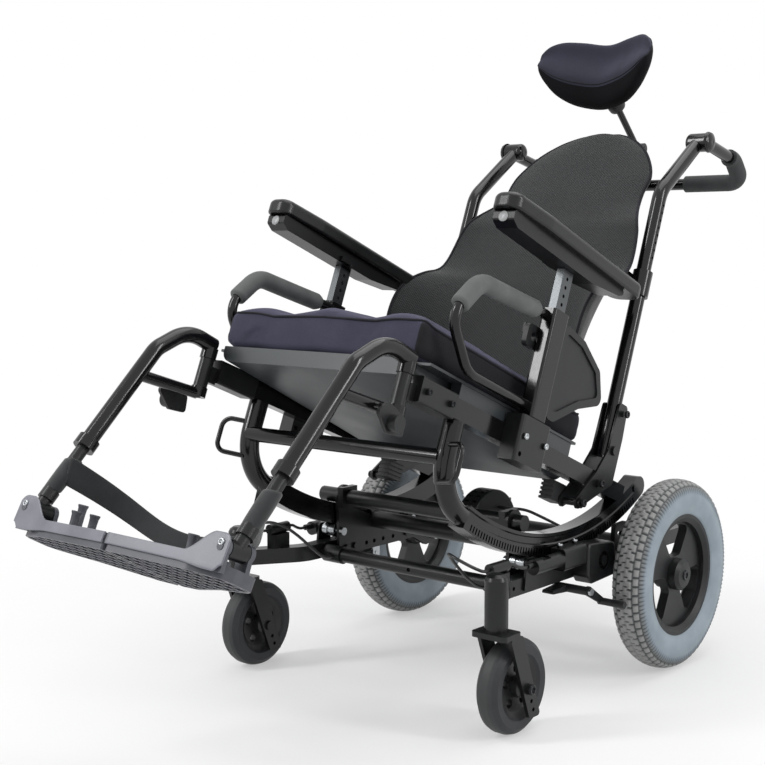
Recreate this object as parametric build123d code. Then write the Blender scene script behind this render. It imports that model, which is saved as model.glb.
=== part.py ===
from build123d import *
import math
import os

# Tilt-in-space wheelchair. Millimetres, +Z up, the chair faces -Y, the sitter's left is +X.
# The base is drawn with y = 0 at the rear axle and z = 0 on the floor. The seat is drawn in its
# own upright frame, whose origin is the centre of the rocker arcs, and is then tilted into place.
# At the end everything is shifted so that the origin is the middle of the chair on the floor.

# ---- fits -----------------------------------------------------------------------------------
RUNNING = 0.05          # radial play of a pin or shaft in its bore
CLEAR = 0.3             # gap between pieces that move past each other
SEATED = 0.05           # play of a piece held in a hole of its own frame

# ---- tilt geometry --------------------------------------------------------------------------
ROCKER_Y = -217.0       # centre of the rocker arcs, behind the front of the rear axle
ROCKER_Z = 741.0
TILT = 22.0             # tilt of the seat as shown
ROCKER_OUT = 516.0      # outer, rolling radius
ROCKER_DEPTH = 36.0
ROCKER_IN = ROCKER_OUT - ROCKER_DEPTH
ROCKER_MID = (ROCKER_OUT + ROCKER_IN) / 2
ROCKER_X = 185.0        # inner side face
ROCKER_W = 28.0
ROCKER_START = -11.0    # angles from straight down, rear positive
ROCKER_END = 50.0
RACK_PITCH = 7.5
RACK_SLOT = 3.2
RACK_HIGH = 10.0
RACK_DEEP = 5.0
RACK_LAND = 3.0         # metal left below the slots

# ---- wheels ---------------------------------------------------------------------------------
WHEEL_R = 161.8
TYRE_W = 61.0
WHEEL_X = 286.0         # half the rear track
RIM_R = 104.0
RIM_W = 44.0
HUB_R = 27.0
SPOKES = 3
AXLE_R = 6.35
CASTER_R = 72.0
CASTER_W = 38.0
CASTER_X = 267.0
CASTER_STEM_Y = -489.0
CASTER_TRAIL = 40.0
CASTER_HUB_R = 46.0
CASTER_PIN_R = 4.0
STEM_R = 7.0

# ---- base frame -----------------------------------------------------------------------------
RAIL_X = 204.5          # side rails, box tube
RAIL_W = 25.0
RAIL_H = 26.0
RAIL_Z = 194.0
RAIL_WALL = 2.5
RAIL_REAR = 212.0
RAIL_BEND_Y = -395.0
RAIL_BEND_R = 60.0
RAIL_WELD_Y = -352.0    # where the bent front is welded to the straight tube
RAIL_BORE_R = 3.3       # accessory holes in the open rear ends
HOUSING_R = 17.5
HOUSING_Z0 = 167.0
HOUSING_Z1 = 247.0
PLATE_X = 176.0         # inner roller plates
PLATE_T = 6.0
FRONT_TUBE = (-350.0, 189.0)
FRONT_TUBE_R = 12.0
LOWER_TUBE = (-238.0, 233.0)
LOWER_TUBE_R = 15.5
REAR_TUBE = (40.0, 194.0)
REAR_TUBE_R = 12.0
KEEPER_R = 13.0
KEEPER_ANGLE = -12.75
KEEPER_GAP = 0.4
KEEPER_X0 = -225.0
KEEPER_X1 = 201.0
ROLLER_R = 11.5
ROLLER_GAP = 0.3
FRONT_ROLLER_ANGLE = -12.2
REAR_ROLLER_ANGLE = 8.8
PIN_R = 4.0
DRUM_R = 67.0
DRUM_X = (50.0, 85.0)
DRUM_Y = -240.0
CABLE_R = 2.5

# ---- seat frame -----------------------------------------------------------------------------
SEAT_RAIL_X = 202.0
SEAT_RAIL_W = 25.0
SEAT_RAIL_TOP = -333.0
SEAT_RAIL_LOW = -363.0
SEAT_RAIL_FRONT = -235.0
SEAT_BASE = -306.0      # underside of the cushion
TUBE_R = 16.0           # rocker front tubes
TUBE_Y = -163.0
TUBE_X = 200.0
TUBE_BEND = 80.0
CROSS_R = 12.0
CROSS = (-168.0, -419.0)
POST_Y = -297.0         # hanger pivot post
POST_R = 11.0
HANGER_X = 200.0
HANGER_R = 12.7
LEG_R = 9.5
FLIP_X = 197.0
FLIP_Z = -636.0
FOOT_PITCH = 7.0
CANE_X = 202.0
CANE_R = 12.7
CANE_Y = 260.0
BACK_HINGE = (262.0, -288.0)
BRACKET_T = 4.0
ARM_X = 232.0
HANDLE_R = 11.0
KNOB = (353.0, 323.0)


# ---- helpers --------------------------------------------------------------------------------
def box(x0, x1, y0, y1, z0, z1):
    return Pos((x0 + x1) / 2, (y0 + y1) / 2, (z0 + z1) / 2) * Box(x1 - x0, y1 - y0, z1 - z0)


def rod(p, q, r):
    axis = Vector(*q) - Vector(*p)
    on_end = (Align.CENTER, Align.CENTER, Align.MIN)
    return Plane(origin=p, z_dir=axis) * Cylinder(r, axis.length, align=on_end)


def across(y, z, r, x0, x1):
    """A round bar along X."""
    return rod((x0, y, z), (x1, y, z), r)


def bent(points, radii, r, bore=0):
    """A round bar, or a tube if bore is set, along straight runs joined by tangent arcs."""
    path = FilletPolyline(*points, radius=radii)
    section = Circle(r) - Circle(bore) if bore else Circle(r)
    return sweep(Plane(origin=path @ 0, z_dir=path % 0) * section, path=path)


def plate(outline, x0, x1, corner=0):
    """A flat plate square to X, from its (y, z) outline."""
    if corner:
        edge = FilletPolyline(*outline, radius=corner, close=True)
    else:
        edge = Polyline(*outline, close=True)
    return extrude(Plane.YZ.offset(x0) * make_face(edge), amount=x1 - x0)


def turned(profile, x_axis_y, x_axis_z):
    """A solid of revolution about an X axis, from its (x, radius) profile."""
    face = make_face(Polyline(*[(x, 0, r) for x, r in profile], close=True))
    return Pos(0, x_axis_y, x_axis_z) * revolve(face, axis=Axis.X)


def pair(solid):
    return [solid, mirror(solid, about=Plane.YZ)]


def on_arc(radius, angle):
    """The (y, z) of a point at an angle from straight down, about the rocker centre."""
    a = math.radians(angle)
    return radius * math.sin(a), -radius * math.cos(a)


def base_arc(radius, angle):
    y, z = on_arc(radius, angle)
    return ROCKER_Y + y, ROCKER_Z + z


SEAT = Pos(0, ROCKER_Y, ROCKER_Z) * Rot(-TILT, 0, 0)


FRONT_ROLLER = base_arc(ROCKER_OUT + ROLLER_GAP + ROLLER_R, FRONT_ROLLER_ANGLE)
REAR_ROLLER = base_arc(ROCKER_OUT + ROLLER_GAP + ROLLER_R, REAR_ROLLER_ANGLE)
KEEPER = base_arc(ROCKER_IN - KEEPER_GAP - KEEPER_R, KEEPER_ANGLE)
CASTER_Y = CASTER_STEM_Y + CASTER_TRAIL
RAIL_OUT = RAIL_X + RAIL_W / 2
RAIL_IN = RAIL_X - RAIL_W / 2
RAIL_TOP = RAIL_Z + RAIL_H / 2


# ---- base frame -----------------------------------------------------------------------------
def side_rail():
    """Box tube, open at the rear, and the bent front piece welded to it."""
    path = FilletPolyline(
        (RAIL_X, RAIL_REAR, RAIL_Z), (RAIL_X, RAIL_BEND_Y, RAIL_Z), (CASTER_X, CASTER_STEM_Y, RAIL_Z),
        radius=RAIL_BEND_R)
    start = Plane(origin=path @ 0, x_dir=(1, 0, 0), z_dir=path % 0)
    outer = Rectangle(RAIL_W, RAIL_H)
    inner = Rectangle(RAIL_W - 2 * RAIL_WALL, RAIL_H - 2 * RAIL_WALL)
    rail = sweep(start * (outer - inner), path=path)
    rail -= rod((CASTER_X, CASTER_STEM_Y, 0), (CASTER_X, CASTER_STEM_Y, 400), HOUSING_R)
    keep = box(0, CASTER_X + 8, CASTER_STEM_Y, RAIL_REAR + 1, 0, 400)
    rail = rail & keep
    for y in (RAIL_REAR - 16, RAIL_REAR - 44):
        rail -= across(y, RAIL_Z, RAIL_BORE_R, RAIL_IN - 1, RAIL_OUT + 1)
    for y in (-372, -332):
        rail -= across(y, RAIL_Z, RAIL_BORE_R, RAIL_X, RAIL_OUT + 1)
    straight = rail & box(RAIL_IN - 1, RAIL_OUT + 1, RAIL_WELD_Y, RAIL_REAR + 1, 0, 400)
    front = rail & box(RAIL_IN - 1, CASTER_X + 8, CASTER_STEM_Y, RAIL_WELD_Y, 0, 400)
    return [max(piece.solids(), key=lambda s: s.volume) for piece in (straight, front)]


def stem_housing():
    profile = [
        (0, HOUSING_Z0), (HOUSING_R, HOUSING_Z0), (HOUSING_R, HOUSING_Z1 - 9),
        (HOUSING_R - 2.5, HOUSING_Z1 - 4), (HOUSING_R - 8, HOUSING_Z1), (0, HOUSING_Z1)]
    body = revolve(make_face(Polyline(*[(r, 0, z) for r, z in profile], close=True)), axis=Axis.Z)
    upright = (Align.CENTER, Align.CENTER, Align.MIN)
    bore = Pos(0, 0, HOUSING_Z0 - 1) * Cylinder(STEM_R + RUNNING, 65, align=upright)
    return Pos(CASTER_X, CASTER_STEM_Y, 0) * (body - bore)


def cross_tubes():
    y, z = FRONT_TUBE
    front = across(y, z, FRONT_TUBE_R, -RAIL_IN, RAIL_IN)
    for end in (-1, 1):
        front += across(y, z, FRONT_TUBE_R + 3, end * RAIL_IN, end * (RAIL_IN - 40))
        front += rod((end * (RAIL_IN - 20), y - FRONT_TUBE_R - 5, z), (end * (RAIL_IN - 20), y, z), 5)
    front -= rod((0, y - 30, z), (0, y + 30, z), 3.5)
    lower = across(*LOWER_TUBE, LOWER_TUBE_R, -PLATE_X, PLATE_X)
    keeper = across(*KEEPER, KEEPER_R, KEEPER_X0, KEEPER_X1)
    rear = across(*REAR_TUBE, REAR_TUBE_R, -RAIL_IN, RAIL_IN)
    return [front, lower, keeper, rear]


def roller_plate():
    """Inner plate with an ear for the keeper tube, an ear for the rear roller and its spacers."""
    out = PLATE_X + PLATE_T
    body = plate([(-336, 262), (-315, 270), (-125, 190), (-128, 182), (-334, 182)], PLATE_X, out, 4)
    body += across(*KEEPER, KEEPER_R + 7, PLATE_X, out)
    body += plate([(-338, 282), (-302, 282), (-302, 262), (-338, 262)], PLATE_X, out)
    body += across(*REAR_ROLLER, 12, PLATE_X, out)
    body += plate([(REAR_ROLLER[0] - 12, REAR_ROLLER[1]), (REAR_ROLLER[0] + 12, REAR_ROLLER[1]),
                   (REAR_ROLLER[0] + 14, 190), (REAR_ROLLER[0] - 14, 190)], PLATE_X, out)
    clamp = box(PLATE_X - 12, PLATE_X, KEEPER[0] - 19, KEEPER[0] + 19, KEEPER[1] - 18, KEEPER[1] + 18)
    body += clamp
    for y in (-316, -294, -150):
        body += across(y, RAIL_Z, 8, out, RAIL_IN)
        body += across(y, RAIL_Z, 5.5, PLATE_X - 4, PLATE_X)
    for y in (-262, -241, -216, -188):
        body -= across(y, RAIL_Z, 4, PLATE_X - 1, out + 1)
    body -= across(*KEEPER, KEEPER_R + SEATED, PLATE_X - 20, out + 1)
    for roller in (FRONT_ROLLER, REAR_ROLLER):
        body -= across(*roller, PIN_R + SEATED, PLATE_X - 20, out + 1)
    return body


def outer_bracket():
    y, z = FRONT_ROLLER
    x1 = RAIL_OUT + 4
    outline = [(y - 20, RAIL_Z - 9), (y + 20, RAIL_Z - 9), (y + 12, z + 11), (y - 12, z + 11)]
    ear = plate(outline, RAIL_OUT, x1, 5)
    return ear - across(y, z, PIN_R + SEATED, RAIL_OUT - 1, x1 + 1)


def roller_pin(centre, x_end):
    pin = across(*centre, PIN_R, PLATE_X - 6, x_end)
    return pin + across(*centre, PIN_R + 3, PLATE_X - 6, PLATE_X)


def stub_axle():
    pin = across(0, WHEEL_R, AXLE_R, 222, WHEEL_X + 20)
    nut = Pos(222, 0, WHEEL_R) * (Rot(0, 90, 0) * extrude(RegularPolygon(11, 6), amount=10))
    return pin + nut


def drum_cover():
    """Half-round cover with two rows of slots round its front rim."""
    x0, x1 = DRUM_X
    z = LOWER_TUBE[1] + LOWER_TUBE_R
    disc = across(DRUM_Y, z, DRUM_R, x0, x1)
    disc = fillet(disc.edges().filter_by(GeomType.CIRCLE), 3)
    disc &= box(x0, x1, DRUM_Y - DRUM_R, DRUM_Y + DRUM_R, z - 8, z + DRUM_R)
    for step in range(7):
        angle = 18 + 11 * step
        for x in (x0 + 6, x1 - 14):
            slot = box(x, x + 8, -DRUM_R - 1, -DRUM_R + 5, -2, 2)
            disc -= Pos(0, DRUM_Y, z) * Rot(-angle, 0, 0) * slot
    for y in (DRUM_Y - 25, DRUM_Y + 25):
        disc += across(y, z + 18, 4, x1, x1 + 2.5)
    return disc - across(*LOWER_TUBE, LOWER_TUBE_R + SEATED, x0 - 1, x1 + 1)


LOCK_X = 233.5
LOCK_Z = 225.0
LOCK_R = 12.0
LOCK_Y0 = -345.0
CLAMP_Y0 = -269.0
CLAMP_Y1 = -205.0
JAW_Y0 = -256.0
JAW_Y1 = -222.0
JAW_Z0 = 228.0
JAW_Z1 = 238.5
JAW_GAP = 0.4
JAW_OUT = RAIL_OUT + 7


def lock_housing():
    cylinder = rod((LOCK_X, LOCK_Y0, LOCK_Z), (LOCK_X, CLAMP_Y0, LOCK_Z), LOCK_R)
    cylinder -= box(RAIL_OUT, 260, LOCK_Y0 + 18, LOCK_Y0 + 40, LOCK_Z + 9, LOCK_Z + 14)
    nose = rod((LOCK_X, LOCK_Y0 - 16, LOCK_Z + 4), (LOCK_X, LOCK_Y0, LOCK_Z + 4), 5)
    clamp = box(RAIL_OUT, LOCK_X + 11, CLAMP_Y0, CLAMP_Y1, LOCK_Z - 19, LOCK_Z + 16)
    clamp = fillet(clamp.edges().filter_by(Axis.Y).sort_by(Axis.X)[-2:], 6)
    pocket = box(RAIL_OUT - 1, JAW_OUT + 4, JAW_Y0 - CLEAR, JAW_Y1 + CLEAR, JAW_Z0 - CLEAR, JAW_Z1 + CLEAR)
    body = cylinder + nose + (clamp - pocket)
    for y in (CLAMP_Y0 + 10, CLAMP_Y1 - 10):
        body += rod((LOCK_X - 6, y, LOCK_Z + 16), (LOCK_X - 6, y, LOCK_Z + 20), 4.5)
    return body


def cable_anchor():
    x = RAIL_X + (CASTER_X - RAIL_X) * (-432 - RAIL_BEND_Y) / (CASTER_STEM_Y - RAIL_BEND_Y)
    foot = box(x - 9, x + 9, -450, -414, RAIL_TOP, RAIL_TOP + 24)
    barrel = rod((x, -454, RAIL_TOP + 33), (x, -410, RAIL_TOP + 33), 9)
    return foot + barrel


def lock_jaw():
    """Toothed jaw that slides into the rack slots of the rocker's side."""
    face = ROCKER_X + ROCKER_W + JAW_GAP
    jaw = box(face + 2.5, JAW_OUT, JAW_Y0, JAW_Y1, JAW_Z0, JAW_Z1)
    teeth = 4
    for step in range(teeth):
        y = (JAW_Y0 + JAW_Y1) / 2 + (step - (teeth - 1) / 2) * RACK_PITCH
        jaw += box(face, face + 2.5, y - 1.2, y + 1.2, JAW_Z0 + 1, JAW_Z1 - 1)
    return jaw


CASTING_X1 = 248.0
CASTING_Y0 = CLAMP_Y1
CASTING_Y1 = -114.0


def frame_casting():
    """Cast side bracket that holds the lock clamp, the rear roller pin and the wheel lock."""
    outline = [(CASTING_Y0, 240), (CASTING_Y1 - 8, 232), (CASTING_Y1, 176), (CASTING_Y0 + 12, 172),
               (CASTING_Y0, 186)]
    body = plate(outline, RAIL_OUT, CASTING_X1, 9)
    body = fillet(body.faces().sort_by(Axis.X)[-1].edges(), 4)
    body -= across(-158, 206, 15, CASTING_X1 - 6, CASTING_X1 + 1)
    body += across(-158, 206, 9, CASTING_X1 - 6, CASTING_X1 + 2)
    return body - across(*REAR_ROLLER, PIN_R + SEATED, RAIL_OUT - 1, RAIL_OUT + 12)


def axle_plate():
    x0, x1 = 232, 240
    outline = [(-112, 222), (-108, 256), (-70, 257), (-52, 222), (20, 186), (22, 146), (-20, 142), (-88, 180)]
    body = plate(outline, x0, x1, 5)
    for y, z in ((-92, 240), (-80, 226)):
        body -= across(y - 6, z, 3.2, x0 - 1, x1 + 1)
        body -= across(y + 6, z, 3.2, x0 - 1, x1 + 1)
        body -= box(x0 - 1, x1 + 1, y - 6, y + 6, z - 3.2, z + 3.2)
    for y in (-82, -12):
        body += across(y, RAIL_Z, 9, RAIL_OUT, x0)
        body += across(y, RAIL_Z, 6, x1, x1 + 4)
    body -= box(x0 - 1, x1 + 1, -200, CASTING_Y1 + 0.5, 100, 300)
    return body - across(0, WHEEL_R, AXLE_R + SEATED, x0 - 1, x1 + 1)


def cable(points):
    """A cable through a list of points, each arc as large as its two runs allow."""
    path = [Vector(*p) for p in points]
    radii = []
    for a, b, c in zip(path, path[1:], path[2:]):
        run = min((b - a).length, (c - b).length)
        half_turn = math.radians((b - a).get_angle(c - b)) / 2
        radii.append(0.45 * run / math.tan(half_turn))
    return bent(points, radii, CABLE_R)


LOCK_CABLE = [(85, -224, 284), (101, -224, 284), (124, -204, 282), (146, -170, 262), (168, -132, 238),
              (190, -102, 220), (212, -90, 214), (226, -96, 217), (226, -114, 217)]
NOSE_CABLE = [(233.5, -361, 229), (233.5, -373, 229), (232, -386, 234), (229, -397, 240), (229, -410, 240)]
LOOP_CABLE = [(229, -454, 240), (229, -469, 240), (222, -489, 250), (204, -502, 262), (184, -496, 266),
              (170, -474, 256), (164, -448, 236), (162, -420, 212), (163, -394, 194), (163, -379, 189),
              (163, -365.1, 189)]


def wheel_lock():
    """Pedal under the rail, pivot tube and hooked shoe in front of the tyre."""
    y, z = LOCK_PIVOT
    body = across(y, z, 7, 196, 256)
    body += plate([(y + 4, z - 7), (y + 4, z + 6), (y - 44, z + 2), (y - 46, z - 3)], 196, 216, 2)
    for step in range(5):
        yy = y - 14 - 7 * step
        body += across(yy, z + 3.5 - 0.08 * 7 * step, 1.6, 197, 215)
    a = math.radians(LOCK_REST)
    sy, sz = y + LOCK_ARM * math.cos(a), z - LOCK_ARM * math.sin(a)
    web = [(y - 3, z + 7), (y + 6, z + 7), (sy + 5, sz + 5), (sy + 3, sz - 6), (y - 3, z - 6)]
    body += plate(web, 250, 255, 2)
    body += across(sy, sz, SHOE_R, 250, 298)
    return body - across(y, z, LOCK_PIN_R + RUNNING, 190, 260)


LOCK_PIVOT = (-216.0, 166.0)
LOCK_PIN_R = 3.5
SHOE_R = 6.0
SHOE_GAP = 0.4
LOCK_REST = 30.0
LOCK_ARM = math.hypot(LOCK_PIVOT[0], LOCK_PIVOT[1] - WHEEL_R) - WHEEL_R - SHOE_R - SHOE_GAP


def lock_pivot_pin():
    """Pin of the wheel lock, hung from the rail by an ear outside the pedal."""
    y, z = LOCK_PIVOT
    pin = across(y, z, LOCK_PIN_R, 191, 262)
    ear = plate([(y - 9, z - 8), (y + 9, z - 8), (y + 9, RAIL_Z - RAIL_H / 2), (y - 9, RAIL_Z - RAIL_H / 2)],
                192, 195.5, 2)
    return pin + ear + across(y, z, 6, 258, 262)


# ---- wheels ---------------------------------------------------------------------------------
def rear_rim():
    """Three broad spokes between a deep rim and a domed hub."""
    c = WHEEL_X
    half = RIM_W / 2
    rim = turned([(c - half, RIM_R - 6), (c - half, RIM_R), (c + half, RIM_R), (c + half, RIM_R - 6),
                  (c + half - 6, RIM_R - 14), (c - half + 6, RIM_R - 14)], 0, WHEEL_R)
    hub = turned([(c - 24, 0), (c - 24, HUB_R - 4), (c - 18, HUB_R), (c + 22, HUB_R), (c + 27, HUB_R - 6),
                  (c + 29, 0)], 0, WHEEL_R)
    disc = Plane.YZ.offset(c - 8) * extrude(Circle(RIM_R - 12), amount=16)
    opening = FilletPolyline((30, -16), (76, -46), (88, 0), (76, 46), (30, 16), radius=9, close=True)
    for step in range(SPOKES):
        turn = Rot(0, 0, 90 + 360 / SPOKES * step)
        disc -= Plane.YZ.offset(c - 9) * extrude(turn * make_face(opening), amount=18)
    wheel = rim + hub + Pos(0, 0, WHEEL_R) * disc
    return wheel - across(0, WHEEL_R, AXLE_R + RUNNING, c - 30, c + 20 + CLEAR)


def rear_tyre():
    half = TYRE_W / 2
    side = WHEEL_R - 20
    c = WHEEL_X
    lead = RIM_W / 2 - 1
    face = make_face(
        Polyline((c - lead, 0, RIM_R), (c + lead, 0, RIM_R))
        + ThreePointArc((c + lead, 0, RIM_R), (c + half, 0, RIM_R + 22), (c + half - 7, 0, side + 6))
        + ThreePointArc((c + half - 7, 0, side + 6), (c, 0, WHEEL_R), (c - half + 7, 0, side + 6))
        + ThreePointArc((c - half + 7, 0, side + 6), (c - half, 0, RIM_R + 22), (c - lead, 0, RIM_R)))
    return Pos(0, 0, WHEEL_R) * revolve(face, axis=Axis.X)


LEG_SLANT = 20.6


def caster_fork():
    """Stem, crown and two flat legs slanted back through the axle."""
    stem = rod((0, 0, 156), (0, 0, HOUSING_Z0 + 60), STEM_R)
    crown = box(-31, 31, -22, 22, 154, 162)
    crown = fillet(crown.edges().filter_by(Axis.Z), 7)
    collar = rod((0, 0, 162), (0, 0, HOUSING_Z0 - CLEAR), 15)
    slant = math.tan(math.radians(LEG_SLANT))

    def reach(z):
        return CASTER_TRAIL + (CASTER_R - z) * slant

    leg_outline = [(reach(154) - 16, 156), (reach(154) + 15, 156), (reach(26) + 14, 26), (reach(26) - 14, 26)]
    fork = stem + crown + collar
    for side in (-1, 1):
        x0, x1 = sorted((side * 25, side * 31))
        leg = plate(leg_outline, x0, x1, 5)
        for z in (52, 38):
            leg -= across(reach(z), z, 3.2, x0 - 1, x1 + 1)
        fork += leg
    fork += across(CASTER_TRAIL, CASTER_R, CASTER_PIN_R, -33, 33)
    for side in (-1, 1):
        x0, x1 = sorted((side * 31, side * 35))
        fork += across(CASTER_TRAIL, CASTER_R, 8, x0, x1)
    return Pos(CASTER_X, CASTER_STEM_Y, 0) * fork


def caster_wheel():
    half = CASTER_W / 2
    hub = turned([(-half - 4, CASTER_PIN_R + RUNNING), (-half - 4, 11), (-half, 15), (-8, 17),
                  (-8, CASTER_HUB_R - 8), (-14, CASTER_HUB_R), (14, CASTER_HUB_R),
                  (8, CASTER_HUB_R - 8), (8, 17), (half, 15),
                  (half + 4, 11), (half + 4, CASTER_PIN_R + RUNNING)], 0, 0)
    for step in range(5):
        hub -= Rot(72 * step, 0, 0) * across(0, 28, 7, -10, 10)
    tyre = turned([(-14, CASTER_HUB_R), (-half + 1, CASTER_HUB_R + 4), (-half, 62), (-half + 7, 70),
                   (-6, CASTER_R), (6, CASTER_R), (half - 7, 70), (half, 62), (half - 1, CASTER_HUB_R + 4),
                   (14, CASTER_HUB_R)], 0, 0)
    place = Pos(CASTER_X, CASTER_Y, CASTER_R)
    return [place * hub, place * tyre]


def spool(centre):
    """Roller spool: two steel rings on a core, one inside each edge of the rocker."""
    x0 = ROCKER_X + 0.5
    x1 = ROCKER_X + ROCKER_W - 0.5
    profile = [(x0, PIN_R + RUNNING), (x0, ROLLER_R), (x0 + 10, ROLLER_R), (x0 + 10, ROLLER_R - 2),
               (x1 - 10, ROLLER_R - 2), (x1 - 10, ROLLER_R), (x1, ROLLER_R), (x1, PIN_R + RUNNING)]
    return turned(profile, *centre)


# ---- seat frame -----------------------------------------------------------------------------
def rocker():
    """Arc of the rolling radius with a recessed side, a rack of slots and a rounded tip."""
    x0, x1 = ROCKER_X, ROCKER_X + ROCKER_W
    mid = ROCKER_MID
    profile = [(x0, ROCKER_IN), (x1, ROCKER_IN), (x1, ROCKER_IN + 5), (x1 - 2, ROCKER_IN + 7),
               (x1 - 2, mid - 2), (x1, mid), (x1, ROCKER_OUT), (x0, ROCKER_OUT)]
    face = make_face(Polyline(*[(x, 0, -r) for x, r in profile], close=True))
    arc = revolve(Rot(ROCKER_START, 0, 0) * face, axis=Axis.X, revolution_arc=ROCKER_END - ROCKER_START)
    tip_y, tip_z = on_arc(ROCKER_MID, ROCKER_END)
    arc += across(tip_y, tip_z, ROCKER_DEPTH / 2, x0, x1)
    slot_mid = ROCKER_OUT - RACK_LAND - RACK_HIGH / 2
    step = math.degrees(RACK_PITCH / slot_mid)
    count = int((ROCKER_END - ROCKER_START - 4) / step)
    slots = [
        Rot(ROCKER_START + 2 + step * n, 0, 0)
        * box(x1 - RACK_DEEP, x1 + 1, -RACK_SLOT / 2, RACK_SLOT / 2,
              -slot_mid - RACK_HIGH / 2, -slot_mid + RACK_HIGH / 2)
        for n in range(count)]
    return arc - slots


def rocker_tubes():
    """Bent front tubes of both rockers with their tie-down loops, joined by a cross tube."""
    end_y, end_z = on_arc(ROCKER_MID, ROCKER_START)
    corner_z = end_z + (TUBE_Y - end_y) * math.tan(math.radians(ROCKER_START))
    body = []
    for side in (-1, 1):
        x = side * TUBE_X
        tube = bent([(x, TUBE_Y, SEAT_RAIL_LOW), (x, TUBE_Y, corner_z), (x, end_y, end_z)], TUBE_BEND, TUBE_R)
        loop = bent([(x, TUBE_Y - 6, -400), (side * 245, TUBE_Y - 24, -400), (side * 245, TUBE_Y - 24, -456),
                     (x, TUBE_Y - 2, -456)], [16, 16], 4)
        body.append(tube + loop)
    cross = across(*CROSS, CROSS_R, -TUBE_X + 4, TUBE_X - 4)
    return body[0] + body[1] + cross


def seat_rail():
    x0, x1 = SEAT_RAIL_X - SEAT_RAIL_W / 2, SEAT_RAIL_X + SEAT_RAIL_W / 2
    rail = box(x0, x1, SEAT_RAIL_FRONT, 330, SEAT_RAIL_LOW, SEAT_RAIL_TOP)
    rail &= across(0, 0, ROCKER_IN, x0 - 1, x1 + 1)
    rail -= box(x0 + 2.5, x1 - 2.5, SEAT_RAIL_FRONT - 1, 290, SEAT_RAIL_LOW + 2.5, SEAT_RAIL_TOP - 2.5)
    return rail - across(*MID_BOLT, 4 + SEATED, x0 - 1, x1 + 1)


MID_BOLT = (233.0, -352.0)
PAN_X = 186.0


def seat_pan():
    """Shallow tray between the rails, flanged over them, deeper toward the rear."""
    def section(y, low, inset):
        half = PAN_X - inset
        edge = FilletPolyline((-half, SEAT_BASE - inset), (-half, low + inset), (half, low + inset),
                              (half, SEAT_BASE - inset), radius=[18, 18]).wire()
        closing = Line((half, SEAT_BASE - inset), (-half, SEAT_BASE - inset))
        return Plane(origin=(0, y, 0), x_dir=(1, 0, 0), z_dir=(0, -1, 0)) * make_face(edge + closing)
    outer = loft([section(-281, -331, 0), section(175, -367, 0)], ruled=True)
    inner = loft([section(-278, -331, 3), section(176, -367, 3)], ruled=True)
    tray = outer - inner
    for side in (-1, 1):
        x0, x1 = sorted((side * PAN_X, side * 213))
        tray += box(x0, x1, -262, 150, SEAT_BASE - 4, SEAT_BASE)
        x0, x1 = sorted((side * (SEAT_RAIL_X - 9), side * (SEAT_RAIL_X + 9)))
        tray += box(x0, x1, -180, 140, SEAT_RAIL_TOP, SEAT_BASE - 4)
    return tray


def seat_cushion():
    """Crowned cushion with two thigh channels and drawn-in sides."""
    def section(y, half, top, dip):
        base = SEAT_BASE
        shoulder = top - 8
        mid = (base + shoulder) / 2
        edge = (Line((-half + 5, base), (half - 5, base))
                + ThreePointArc((half - 5, base), (half, mid), (half - 6, shoulder))
                + ThreePointArc((half - 6, shoulder), (half / 2, top - dip), (0, top))
                + ThreePointArc((0, top), (-half / 2, top - dip), (-half + 6, shoulder))
                + ThreePointArc((-half + 6, shoulder), (-half, mid), (-half + 5, base)))
        return Plane(origin=(0, y, 0), x_dir=(1, 0, 0), z_dir=(0, -1, 0)) * make_face(edge)
    return loft([section(-280, 205, -262, -4), section(-256, 210, -232, -2), section(-120, 211, -230, 8),
                 section(60, 211, -236, 10), section(188, 207, -240, 4)])


def hanger_receiver():
    """Clamp on the rail's front end with the post that the hanger swings on."""
    x0, x1 = SEAT_RAIL_X - SEAT_RAIL_W / 2, SEAT_RAIL_X + SEAT_RAIL_W / 2
    body = box(x0 - 4, x1 + 4, -277, -190, SEAT_RAIL_LOW - 4, SEAT_RAIL_TOP + 4)
    body = fillet(body.edges().filter_by(Axis.Y), 3)
    body -= box(x0, x1, SEAT_RAIL_FRONT, -189, SEAT_RAIL_LOW, SEAT_RAIL_TOP)
    body += box(HANGER_X - 9, HANGER_X + 9, POST_Y, -276, -370, -344)
    body += rod((HANGER_X, POST_Y, -380), (HANGER_X, POST_Y, -334), POST_R)
    body += rod((HANGER_X, POST_Y, -394), (HANGER_X, POST_Y, -320), 6)
    for y in (-262, -205):
        body += across(y, (SEAT_RAIL_LOW + SEAT_RAIL_TOP) / 2, 5, x1 + 4, x1 + 8)
    return body


SOCKET_X0 = SEAT_RAIL_X + SEAT_RAIL_W / 2
SOCKET_X1 = 246.0
PLUG_X0, PLUG_X1 = 222.0, 242.0
PLUG_Y0, PLUG_Y1 = -36.0, 2.0


def arm_socket():
    body = box(SOCKET_X0, SOCKET_X1, -58, 22, -388, -316)
    body = fillet(body.edges().filter_by(Axis.Z).sort_by(Axis.X)[-2:], 6)
    body -= box(PLUG_X0 - CLEAR, PLUG_X1 + CLEAR, PLUG_Y0 - CLEAR, PLUG_Y1 + CLEAR, -384, -300)
    body -= across(-48, -376, 4, SOCKET_X0 - 1, SOCKET_X1 + 1)
    for y in (-46, 12):
        body += across(y, -348, 5, SOCKET_X1, SOCKET_X1 + 3)
    return body


LOW_BOLT = (190.0, -396.0)


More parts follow.
